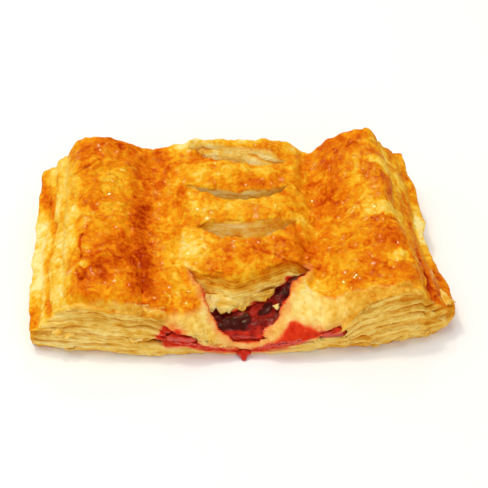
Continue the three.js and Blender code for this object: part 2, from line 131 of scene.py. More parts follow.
class Grain:
    """Smooth noise on a repeating lattice, the same at each run."""

    SIDE = 64
    LAYER_STEP = 17

    def __init__(self, seed: int) -> None:
        """Fills the lattice.

        Args:
            seed: number that the lattice is drawn from.
        """
        draw = np.random.default_rng(seed)
        self.lattice = draw.uniform(-1, 1, (self.SIDE, self.SIDE, self.SIDE)).astype(np.float32)

    def at(self, x: Array, y: Array, z: Array) -> Array:
        """Noise from -1 to 1 at points, with one swell for each unit.

        Args:
            x: first coordinates.
            y: second coordinates.
            z: third coordinates.

        Returns:
            One value for each point.
        """
        x, y, z = np.broadcast_arrays(x, y, z)
        mask = self.SIDE - 1
        xi, yi, zi = np.floor(x), np.floor(y), np.floor(z)
        fx, fy, fz = ease(x - xi), ease(y - yi), ease(z - zi)
        x0, y0, z0 = (c.astype(np.int32) & mask for c in (xi, yi, zi))
        z1 = (z0 + 1) & mask
        return mix(self.square(x0, y0, z0, fx, fy), self.square(x0, y0, z1, fx, fy), fz)

    def square(self, i: Array, j: Array, k: Array, s: Array, t: Array) -> Array:
        """Mixes the four corners of one square of the lattice, by the shares s and t."""
        i1, j1 = (i + 1) & (self.SIDE - 1), (j + 1) & (self.SIDE - 1)
        near = mix(self.lattice[i, j, k], self.lattice[i1, j, k], s)
        return mix(near, mix(self.lattice[i, j1, k], self.lattice[i1, j1, k], s), t)

    def flat(self, x: Array, y: Array, layer: Array) -> Array:
        """Noise over a plane, with a whole number that says which plane.

        Args:
            x: first coordinates.
            y: second coordinates.
            layer: whole numbers, each with its own pattern.

        Returns:
            One value from -1 to 1 for each point.
        """
        x, y, layer = np.broadcast_arrays(x, y, layer)
        mask = self.SIDE - 1
        xi, yi = np.floor(x), np.floor(y)
        fx, fy = ease(x - xi), ease(y - yi)
        k = (layer.astype(np.int32) * self.LAYER_STEP) & mask
        return self.square(xi.astype(np.int32) & mask, yi.astype(np.int32) & mask, k, fx, fy)


@dataclass(frozen=True)
class Ripple:
    """Unevenness of one kind: its strength, its size along each axis and its place in the noise."""

    strength: float
    x: float
    y: float
    z: float = 1.0
    pattern: float = 0.0

    def at(self, grain: Grain, x: Array, y: Array, z: Array | float = 0.0) -> Array:
        """Its value at points, from -strength to strength."""
        return self.strength * grain.at(x / self.x, y / self.y, z / self.z + self.pattern)

    def on_leaf(self, grain: Grain, x: Array, y: Array, leaf: Array) -> Array:
        """Its value at points of a leaf, each leaf with its own pattern."""
        return self.strength * grain.flat(x / self.x, y / self.y, leaf + self.pattern)


Ripples = tuple[Ripple, ...]


def lump(strength: float, size: float, pattern: float = 0.0) -> Ripple:
    """Unevenness that has the same size along X and Y."""
    return Ripple(strength, size, size, pattern=pattern)


def ripples_at(ripples: Ripples, grain: Grain, x: Array, y: Array, z: Array | float = 0.0) -> Array:
    """Several kinds of unevenness at points, added up."""
    return sum(ripple.at(grain, x, y, z) for ripple in ripples)


@dataclass(frozen=True)
class Stir:
    """Noise that moves points aside, so that what is worked out from them bends."""

    by: float
    size: float
    patterns: Fade

    def at(self, grain: Grain, x: Array, y: Array) -> tuple[Array, ...]:
        """How far points move lengthwise and from front to back."""
        return tuple(self.by * grain.at(x / self.size, y / self.size, pattern) for pattern in self.patterns)


@dataclass(frozen=True)
class Wave:
    """Slow unevenness that the solids have too: its height, its length and its place in the pattern."""

    height: float
    length: float
    start: float = 0.0

    def along(self, where: Array) -> Array:
        """Its height at places along one edge of the plan."""
        return self.height * uneven(where / self.length, self.start)

    def over(self, x: Array, y: Array) -> Array:
        """Its height at points of the plan."""
        return self.height * uneven(x / self.length + self.start, y / self.length)


@dataclass(frozen=True)
class Swell:
    """A long swell or valley of the upper sheet, from front to back."""

    x: float
    inner: float
    outer: float
    rise: float
    more_at_back: float
    drift: float

    def height(self, x: Array, y: Array, half_depth: float) -> Array:
        """Height that the swell adds at points."""
        back = y / half_depth
        off = x - (self.x + self.drift * back)
        width = np.where(np.sign(off) == math.copysign(1, self.x), self.outer, self.inner)
        return self.rise * (1 + self.more_at_back * back) * bell(off / width)


@dataclass(frozen=True)
class Slit:
    """A slit across the upper sheet."""

    tip_y: float
    skew: float
    start: float
    end: float
    bow: float
    opening: float
    lean: float
    fullness: float = 0.8

    def line(self, x: Array) -> Pair:
        """The middle line of the slit and its half width at x."""
        half = (self.end - self.start) / 2
        q = np.clip((x - (self.start + half)) / half, -1, 1)
        room = 1 - q * q
        return self.tip_y + self.skew * x - self.bow * room, self.opening * room**self.fullness

    def outside(self, x: Array, y: Array, lift: Array) -> Array:
        """How far points lie outside the slit's walls, where lift is their height over its middle."""
        middle, opening = self.line(x)
        return np.abs(y - middle - self.lean * lift) - opening


@dataclass(frozen=True)
class Bow:
    """One edge of the mouth, bowed from corner to corner."""

    y: float
    left: float
    right: float


@dataclass(frozen=True)
class Mouth:
    """The front slit, which has sagged open."""

    left: float = -19.6
    left_y: float = -27
    right: float = 24.5
    right_y: float = -26.5
    middle: float = -3
    height: float = 10
    lean: float = 0.68
    floor: float = 5.4
    roof: Bow = Bow(-36, 1.6, 0.85)
    lip: Bow = Bow(-42.4, 3.0, 3.4)

    def edge(self, x: Array, bow: Bow) -> Array:
        """The y of one edge of the mouth at x."""
        on_left = x < self.middle
        reach = np.where(on_left, self.middle - self.left, self.right - self.middle)
        corner = np.where(on_left, self.left_y, self.right_y)
        q = np.clip(np.abs(x - self.middle) / reach, 0, 1)
        return mix(bow.y, corner, q ** np.where(on_left, bow.left, bow.right))

    def slant(self, z: Array | float) -> Array | float:
        """How far back the mouth's edges lean at a height."""
        return self.lean * (z - self.height)


@dataclass(frozen=True)
class StripForm:
    """The form of the dough, with the same sizes as its solid, in millimetres."""

    length: float = 149.4
    depth: float = 95.0
    bulge_at: float = 20
    drawn_in_left: float = 10
    drawn_in_right: float = 9
    back_drawn_in: float = 1.5
    left_slant: float = 0.2
    front_wave: Wave = Wave(0.4, 9, 3.5)
    back_wave: Wave = Wave(0.5, 11, 8.2)
    left_wave: Wave = Wave(0.5, 14, 1.7)
    right_wave: Wave = Wave(0.4, 12, 5.1)
    hollow_y: float = -2
    hollow_width: float = 24
    hollow_depth: float = 4.2
    right_drawn_in: float = 4.2
    drawn_in_from: float = 4
    corner_pull: float = 0.02
    corner_power: int = 4
    plan_rounds: int = 4
    mid_height: float = 22.2
    rise_to_back: float = 0.1
    lumps: Wave = Wave(0.55, 8)
    small_lumps: Wave = Wave(0.3, 3.5, 40)
    swells: tuple[Swell, ...] = (
        Swell(-53, 16, 12, 4.6, 0.35, 0),
        Swell(56, 14, 10, 4.8, 0.1, 0),
        Swell(-30, 10, 7, -2.4, 0, 0),
        Swell(28.5, 5.5, 6.5, -4.6, 0.5, 3),
        Swell(14, 10, 9, -0.8, 1.0, 0),
    )
    end_edge_front: float = 17
    end_edge_back: float = 23
    back_edge_fall: float = 2.6
    end_edge_below: float = 1
    end_roll: float = 9
    back_roll: float = 3.4
    front_edge: tuple[Fade, ...] = (
        (-74, 17.5), (-56, 18.6), (-33, 16.4), (-23, 12.2), (-10, 6), (0, 4.2),
        (14, 7.8), (31, 10.8), (40, 18), (48, 20.6), (60, 21), (74, 18),
    )
    droop_from: float = -34
    droop_full_from: float = -20
    droop_full_to: float = 30
    droop_to: float = 42
    shoulder_roll: float = 4
    droop_roll: float = 19
    straight_width: float = 20
    bar_behind: float = 4
    ledge_at: float = 0.52
    ledge_climb: float = 0.2
    ledge_depth: float = 3.6
    ledge_shares: Fade = (-0.03, 0.05)
    end_slope: float = 9.5
    end_slope_to: float = 1.15
    front_slope: float = 3.2
    back_slope: float = 1.4
    foot_inset: float = 0.8
    foot_inset_right: float = 7
    end_foot_to: float = 0.36
    face_foot_to: float = 0.12
    face_slope_from: float = 0.4
    fold_at: float = 0.45
    fold_depth: float = 1.2
    fold_width: float = 0.05
    overhang: float = 0.8
    overhang_shares: tuple[float, float, float, float] = (0.66, 0.8, 0.9, 1)
    lip_overhang: float = 1.1
    lip_shares: Fade = (0.4, 0.6)
    slits: tuple[Slit, ...] = (
        Slit(35.7, -0.117, -16.4, 22, 2.3, 3.1, 0.75),
        Slit(18.8, -0.064, -18.0, 21.4, 5.6, 2.2, 0.3),
        Slit(0, 0.033, -15.4, 22.4, 5.8, 4.3, 0.3),
    )
    slit_floor: float = 14.6
    bar_dome: float = 2.2
    bar_half_span: float = 24
    roof_rim: float = 2
    bar_middle: float = 2
    mouth: Mouth = Mouth()

    def front(self, x: Array) -> Array:
        """The plan's front edge at x."""
        half = self.length / 2
        left = self.drawn_in_left * np.maximum(0, (self.bulge_at - x) / (half + self.bulge_at)) ** 2
        right = self.drawn_in_right * np.maximum(0, (x - self.bulge_at) / (half - self.bulge_at)) ** 3
        return -self.depth / 2 + left + right + self.front_wave.along(x)

    def back(self, x: Array) -> Array:
        """The plan's back edge at x."""
        drawn_in = self.back_drawn_in * (x / (self.length / 2)) ** 2
        return self.depth / 2 - drawn_in + self.back_wave.along(x)

    def left(self, y: Array) -> Array:
        """The plan's left edge at y."""
        return -self.length / 2 + self.left_slant * (1 + y / (self.depth / 2)) + self.left_wave.along(y)

    def right(self, y: Array) -> Array:
        """The plan's right edge at y."""
        hollow = self.hollow_depth * bell((y - self.hollow_y) / self.hollow_width)
        drawn_in = self.right_drawn_in * smooth(y, self.drawn_in_from, self.depth / 2)
        return self.length / 2 - hollow - drawn_in + self.right_wave.along(y)

    def droop(self, x: Array) -> Array:
        """How much of the front's droop is felt at x, from 0 to 1."""
        rise = smooth(x, self.droop_from, self.droop_full_from)
        return rise * (1 - smooth(x, self.droop_full_to, self.droop_to))

    def front_height(self, x: Array) -> Array:
        """Height of the crust's front edge at x."""
        stops = np.array(self.front_edge)
        k = np.clip(np.searchsorted(stops[:, 0], x, side="right") - 1, 0, len(stops) - 2)
        a, b = stops[k], stops[k + 1]
        t = np.clip((x - a[..., 0]) / (b[..., 0] - a[..., 0]), 0, 1)
        return mix(a[..., 1], b[..., 1], ease(t))

    def bar_share(self, x: Array, y: Array) -> Array:
        """Dome of the bars between the slits, 1 on a crest and 0 at the edges."""
        across = 1 - smooth(np.abs(x - self.bar_middle), self.bar_half_span / 2, self.bar_half_span)
        edges = [np.full_like(x, self.depth / 2)]
        edges += [slit.line(x)[0] for slit in self.slits]
        edges.append(self.mouth.edge(x, self.mouth.roof) + self.roof_rim)
        dome = np.zeros_like(x)
        for upper, lower in zip(edges, edges[1:]):
            t = 2 * (y - lower) / (upper - lower) - 1
            dome = np.where((y <= upper) & (y > lower), across * (1 - t * t), dome)
        return dome

    def sheet(self, x: Array, y: Array) -> Array:
        """Height of the slit sheet before its edges round over."""
        total = self.mid_height + self.rise_to_back * y + self.bar_dome * self.bar_share(x, y)
        for swell in self.swells:
            total = total + swell.height(x, y, self.depth / 2)
        return total + self.lumps.over(x, y) + self.small_lumps.over(x, y)

    def end_inset(self, share: Array, right_side: bool, y: Array) -> Array:
        """How far in from the plan's edge an end's wall stands at a share of its height."""
        foot = self.foot_inset
        if right_side:
            foot = mix(self.foot_inset, self.foot_inset_right, smooth(-y, 0, self.depth / 2))
        under = foot * (1 - smooth(share, 0, self.end_foot_to))
        at = self.ledge_at + self.ledge_climb * smooth(y, 0, self.depth / 2)
        ledge = self.ledge_depth * smooth(share - at, *self.ledge_shares)
        t = np.clip((share - at) / (self.end_slope_to - at), 0, 1)
        return under + ledge + self.end_slope * t * t * (3 - 2 * t)

    def face_inset(self, share: Array, slope: float, shallow: Array) -> Array:
        """How far in the front or back wall stands at a share of its height."""
        under = self.foot_inset * (1 - smooth(share, 0, self.face_foot_to))
        fold = self.fold_depth * bell((share - self.fold_at) / self.fold_width)
        starts, full, ends, gone = self.overhang_shares
        over = self.overhang * smooth(share, starts, full) * (1 - smooth(share, ends, gone))
        lip = self.lip_overhang * (1 - smooth(share, *self.lip_shares))
        return under + mix(slope * smooth(share, self.face_slope_from, 1) + fold + over, lip, shallow)

    def plan_share(self, x: Array, y: Array) -> Pair:
        """Where points lie on the crust in plan.

        Args:
            x: places along X.
            y: places along Y.

        Returns:
            Two shares, each -1 and 1 at the crust's opposite edges.
        """
        half_x, half_y = self.length / 2, self.depth / 2
        u, v = np.clip(x / half_x, -1, 1), np.clip(y / half_y, -1, 1)
        for _ in range(self.plan_rounds):
            x0, y0 = np.clip(u, -1, 1) * half_x, np.clip(v, -1, 1) * half_y
            pull = 1 - self.corner_pull * (np.clip(u, -1, 1) * np.clip(v, -1, 1)) ** self.corner_power
            shallow = np.where(v < 0, self.droop(x0), 0)
            low_x = self.left(y0) + self.end_inset(np.ones_like(x), False, y0)
            high_x = self.right(y0) - self.end_inset(np.ones_like(x), True, y0)
            low_y = self.front(x0) + self.face_inset(np.ones_like(x), self.front_slope, shallow)
            high_y = self.back(x0) - self.face_inset(np.ones_like(x), self.back_slope, 0)
            u = 2 * (x / pull - low_x) / (high_x - low_x) - 1
            v = 2 * (y / pull - low_y) / (high_y - low_y) - 1
        return u, v

    def top(self, x: Array, y: Array) -> Array:
        """Height of the top at points of the plan, rounded over towards each edge."""
        u, v = self.plan_share(x, y)
        u, v = np.clip(u, -1, 1), np.clip(v, -1, 1)
        sheet = self.sheet(x, y)
        hang = self.droop(x)
        from_front = (v + 1) * self.depth / 2
        from_back = (1 - v) * self.depth / 2
        from_end = (1 - np.abs(u)) * self.length / 2
        t = from_front / mix(self.shoulder_roll, self.droop_roll, hang)
        straight = hang * bell((x - self.bar_middle) / self.straight_width)
        front = mix(quarter_round(t), np.clip(t, 0, 1), straight)
        mouth = self.mouth
        middle = (mouth.edge(x, mouth.lip) + mouth.edge(x, mouth.roof)) / 2
        over = (x > mouth.left) & (x < mouth.right)
        front = mix(front, 1.0, np.where(over, smooth(y - middle, 0, self.bar_behind), 0.0))
        rounded = mix(self.front_height(x), sheet, front)
        rounded = rounded - self.back_edge_fall * (1 - quarter_round(from_back / self.back_roll))
        end_edge = mix(self.end_edge_front, self.end_edge_back, (v + 1) / 2)
        end_edge = np.minimum(end_edge, rounded - self.end_edge_below)
        return mix(end_edge, rounded, quarter_round(from_end / self.end_roll))


@dataclass(frozen=True)
class Leak:
    """A place where the fruit shows at the front face."""

    x: float
    width: float


@dataclass(frozen=True)
class Rise:
    """A place where the fruit is pushed up."""

    x: float
    y: float
    width: float
    rise: float


@dataclass(frozen=True)
class Cherry:
    """A whole fruit that stands out of the bed."""

    x: float
    y: float
    z: float
    radius: float


@dataclass(frozen=True)
class BedForm:
    """The form of the fruit bed, with the same sizes as its solid, in millimetres."""

    strip: StripForm
    left: float = -42
    right: float = 42
    back: float = 36
    floor: float = 5.4
    top: float = 11.2
    edge: float = 7.6
    ramp_from: float = 0.5
    ramp: float = 11
    at_lip: float = 6.3
    behind_lip: float = 4.0
    behind_roof: float = 4.0
    mouth_corners: float = 5
    relief_in_mouth: float = 0.4
    front_inset: float = 2.6
    leaks: tuple[Leak, ...] = (Leak(-22.5, 7), Leak(29, 6))
    leak_rise: float = 2.4
    leak_floor_rise: float = 2
    leak_reach: float = 14
    leak_shares: Fade = (0.1, 0.9)
    rises: tuple[Rise, ...] = (Rise(19, -27, 8, 4.6), Rise(-16, -27, 6, 2))
    fruit_size: float = 9
    relief: float = 0.9
    cherries: tuple[Cherry, ...] = (
        Cherry(-3.4, -38.2, 4.6, 5.4),
        Cherry(14.6, -32.4, 6.4, 4.4),
    )
    cherry_roundness: float = 0.8
    clearance: float = 0.3

    def leaking(self, x: Array, y: Array) -> Array:
        """How far a place belongs to a leak, from 0 to 1, less and less further back."""
        most = np.zeros_like(x)
        for leak in self.leaks:
            most = np.maximum(most, bell((x - leak.x) / leak.width))
        edge = -self.strip.depth / 2
        in_reach = 1 - smooth(y, edge + self.leak_reach / 2, edge + self.leak_reach)
        return smooth(most, *self.leak_shares) * in_reach

    def front(self, x: Array) -> Array:
        """Front edge of the bed at x."""
        at_face = self.leaking(x, np.full_like(x, -self.strip.depth / 2))
        return self.strip.front(x) + self.front_inset * (1 - at_face)

    def under(self, x: Array, y: Array) -> Array:
        """Height of the bed's underside."""
        return self.floor + self.leak_floor_rise * self.leaking(x, y)

    def outside(self, x: Array, y: Array, front: Array) -> Array:
        """How far points lie outside the bed in plan, negative inside, where front is its front edge."""
        return np.maximum(np.maximum(self.left - x, x - self.right), np.maximum(front - y, y - self.back))

    def height(self, x: Array, y: Array) -> Array:
        """Height of the fruit's surface."""
        mouth = self.strip.mouth
        crown = smooth(-self.outside(x, y, self.front(x)), self.ramp_from, self.ramp)
        lumps = self.relief * crown * uneven(2 * x / self.fruit_size, 2 * y / self.fruit_size)
        pushed = np.zeros_like(x)
        for rise in self.rises:
            pushed = pushed + rise.rise * bell(np.hypot(x - rise.x, y - rise.y) / rise.width)
        edge = self.edge + self.leak_rise * self.leaking(x, y)
        bed = mix(edge, self.top, crown) + lumps + pushed
        within = smooth(x, mouth.left, mouth.left + self.mouth_corners)
        within = within * (1 - smooth(x, mouth.right - self.mouth_corners, mouth.right))
        lip, roof = mouth.edge(x, mouth.lip), mouth.edge(x, mouth.roof)
        share = np.clip((y - lip + self.behind_lip) / (roof - lip + self.behind_lip + self.behind_roof), 0, 1)
        dip = mix(self.at_lip, self.top, share) + self.relief_in_mouth * lumps + pushed
        total = mix(bed, np.minimum(bed, dip), within)
        for cherry in self.cherries:
            off = np.hypot(x - cherry.x, y - cherry.y) / cherry.radius
            cap = cherry.z + self.cherry_roundness * cherry.radius * np.sqrt(np.clip(1 - off * off, 0, 1))
            total = np.where(off < 1, np.maximum(total, cap), total)
        return total


@dataclass(frozen=True)
class Block:
    """A box of evenly spaced points, in millimetres."""

    low: Place
    high: Place
    step: Place

    def axes(self) -> tuple[Array, Array, Array]:
        """The coordinates along each side."""
        return tuple(
            np.arange(a, b + s, s, dtype=np.float32) for a, b, s in zip(self.low, self.high, self.step)
        )


def skin_of(values: Array, block: Block) -> Pair:
    """The surface where a field passes zero, as points and four-sided faces.

    Args:
        values: field on the block's points, negative inside.
        block: the points' places.

    Returns:
        Points in millimetres and faces of four point numbers, seen from outside.
    """
    inside = values < 0
    shape = tuple(n - 1 for n in values.shape)
    count = np.zeros(shape, np.int8)
    corners = [(i, j, k) for i in (0, 1) for j in (0, 1) for k in (0, 1)]
    for i, j, k in corners:
        count += inside[i : i + shape[0], j : j + shape[1], k : k + shape[2]]
    cells = np.argwhere((count > 0) & (count < 8))
    number = np.full(shape, -1, np.int32)
    number[tuple(cells.T)] = np.arange(len(cells), dtype=np.int32)
    at = {c: values[tuple((cells + c).T)].astype(np.float64) for c in corners}
    total = np.zeros((len(cells), 3))
    hits = np.zeros(len(cells))
    for axis in range(3):
        for c in corners:
            if c[axis]:
                continue
            d = tuple(v + (1 if n == axis else 0) for n, v in enumerate(c))
            a, b = at[c], at[d]
            crossing = (a < 0) != (b < 0)
            t = np.where(crossing, a / np.where(crossing, a - b, 1), 0)
            place = np.array(c, float)[None, :].repeat(len(cells), 0)
            place[:, axis] += t
            total += place * crossing[:, None]
            hits += crossing
    points = (cells + total / hits[:, None]) * np.array(block.step) + np.array(block.low)
    faces = []
    for axis in range(3):
        others = [n for n in range(3) if n != axis]
        first = [slice(None)] * 3
        second = [slice(None)] * 3
        first[axis], second[axis] = slice(0, -1), slice(1, None)
        for n in others:
            first[n] = second[n] = slice(1, -1)
        a, b = inside[tuple(first)], inside[tuple(second)]
        where = np.argwhere(a != b)
        outward = a[tuple(where.T)]
        base = where + np.array([0 if n == axis else 1 for n in range(3)])
        quad = []
        for du, dv in ((-1, -1), (0, -1), (0, 0), (-1, 0)):
            cell = base.copy()
            cell[:, others[0]] += du
            cell[:, others[1]] += dv
            quad.append(number[tuple(cell.T)])
        quad = np.stack(quad, 1)
        turn = outward if axis != 1 else ~outward
        quad[~turn] = quad[~turn][:, ::-1]
        faces.append(quad)
    return points, np.concatenate(faces)


def mesh_object(name: str, points: Array, faces: Array, shift: Array) -> Thing:
    """A smooth mesh object from points in millimetres.

    Args:
        name: name of the object and its mesh.
        points: one row for each point.
        faces: one row of point numbers for each face.
        shift: what is added to each point, in millimetres.

    Returns:
        The object, linked into the scene.
    """
    mesh = bpy.data.meshes.new(name)
    mesh.vertices.add(len(points))
    mesh.vertices.foreach_set("co", ((points + shift) * MM).astype(np.float32).ravel())
    sides = faces.shape[1]
    mesh.loops.add(faces.size)
    mesh.loops.foreach_set("vertex_index", faces.astype(np.int32).ravel())
    mesh.polygons.add(len(faces))
    mesh.polygons.foreach_set("loop_start", np.arange(0, faces.size, sides, dtype=np.int32))
    mesh.polygons.foreach_set("use_smooth", np.ones(len(faces), bool))
    mesh.update(calc_edges=True)
    mesh.validate()
    thing = bpy.data.objects.new(name, mesh)
    bpy.context.scene.collection.objects.link(thing)
    return thing


def thin_out(thing: Thing, most: int) -> None:
    """Brings a mesh down to a number of triangles at most.

    Args:
        thing: object whose mesh is thinned.
        most: greatest number of triangles.
    """
    triangles = sum(len(p.vertices) - 2 for p in thing.data.polygons)
    if triangles <= most:
        return
    cut = thing.modifiers.new("thin", "DECIMATE")
    cut.ratio = most / triangles
    graph = bpy.context.evaluated_depsgraph_get()
    lighter = bpy.data.meshes.new_from_object(thing.evaluated_get(graph))
    thing.modifiers.clear()
    old = thing.data
    thing.data = lighter
    lighter.name = thing.name
    bpy.data.meshes.remove(old)
    lighter.polygons.foreach_set("use_smooth", np.ones(len(lighter.polygons), bool))


def places(thing: Thing, shift: Array) -> Array:
    """The points of an object's mesh in millimetres, without the shift."""
    flat = np.zeros(len(thing.data.vertices) * 3, np.float32)
    thing.data.vertices.foreach_get("co", flat)
    return flat.reshape(-1, 3).astype(float) / MM - shift


def give(thing: Thing, name: str, values: Array) -> None:
    """Stores one number for each point of a mesh under a name."""
    layer = thing.data.attributes.new(name, "FLOAT", "POINT")
    layer.data.foreach_set("value", np.ascontiguousarray(values, np.float32))


@dataclass(frozen=True)
class Oval:
    """An oval on the strip as seen from above, turned by degrees."""

    x: float
    y: float
    across: float
    along: float
    turn: float = field(default=0.0, kw_only=True)

    def shares(self, x: Array, y: Array) -> Pair:
        """How far points lie from its middle along its two axes, 1 at the edge."""
        c, s = math.cos(math.radians(self.turn)), math.sin(math.radians(self.turn))
        dx, dy = x - self.x, y - self.y
        return (dx * c + dy * s) / self.across, (dy * c - dx * s) / self.along


@dataclass(frozen=True)
class Spot(Oval):
    """A place that is browner or paler than the rest round it, or that carries something."""

    amount: float

    def felt(self, x: Array, y: Array) -> Array:
        """How much of the spot is felt at points."""
        return self.amount * bell(np.hypot(*self.shares(x, y)))


@dataclass(frozen=True)
class Crease:
    """A fold or crack in the crust, along a line of points."""

    points: tuple[tuple[float, float], ...]
    width: float
    depth: float
    rise: float = 0.0
    # tint: how much browner the crust is painted along the fold, painted shade in the crease; a negative tint
    # paints it paler.
    tint: float = 0.2

    def distance(self, x: Array, y: Array) -> Array:
        """How far points lie from the line."""
        best = np.full(np.shape(x), 1e3)
        for (ax, ay), (bx, by) in zip(self.points, self.points[1:]):
            dx, dy = bx - ax, by - ay
            t = np.clip(((x - ax) * dx + (y - ay) * dy) / (dx * dx + dy * dy), 0, 1)
            best = np.minimum(best, np.hypot(x - ax - t * dx, y - ay - t * dy))
        return best


@dataclass(frozen=True)
class Torn(Oval):
    """A place where the top leaf has come off and paler dough shows."""

    depth: float = 0.5


@dataclass(frozen=True)
class Bubble:
    """A burst bubble in the crust: a low ring round a hollow."""

    x: float = 16.5
    y: float = -17
    radius: float = 2.3
    ring: float = 0.35
    ring_width: float = 0.6
    hollow: float = 0.3
    hollow_width: float = 1.4

    def relief(self, x: Array, y: Array) -> Pair:
        """How high its ring and how deep its hollow is at points."""
        off = np.hypot(x - self.x, y - self.y)
        ring = self.ring * bell((off - self.radius) / self.ring_width)
        return ring, self.hollow * bell(off / self.hollow_width)


@dataclass(frozen=True)
class SideTone:
    """A place on the sides that is browner than the layers round it, or paler where its amount is below 0;
    some are painted shade under an edge, in a groove or in a crease.
    """

    x: float
    y: float
    z: float
    across: float
    along: float
    tall: float
    amount: float

    def felt(self, x: Array, y: Array, z: Array) -> Array:
        """How much of it is felt at points."""
        off = ((x - self.x) / self.across) ** 2 + ((y - self.y) / self.along) ** 2
        return self.amount * np.exp(-(off + ((z - self.z) / self.tall) ** 2))


@dataclass(frozen=True)
class Line:
    """A line drawn through points, whose height or depth is read off along its length."""

    along: tuple[float, ...]
    value: tuple[float, ...]

    def at(self, where: Array) -> Array:
        """The line's value at places along it."""
        return np.interp(where, self.along, self.value)


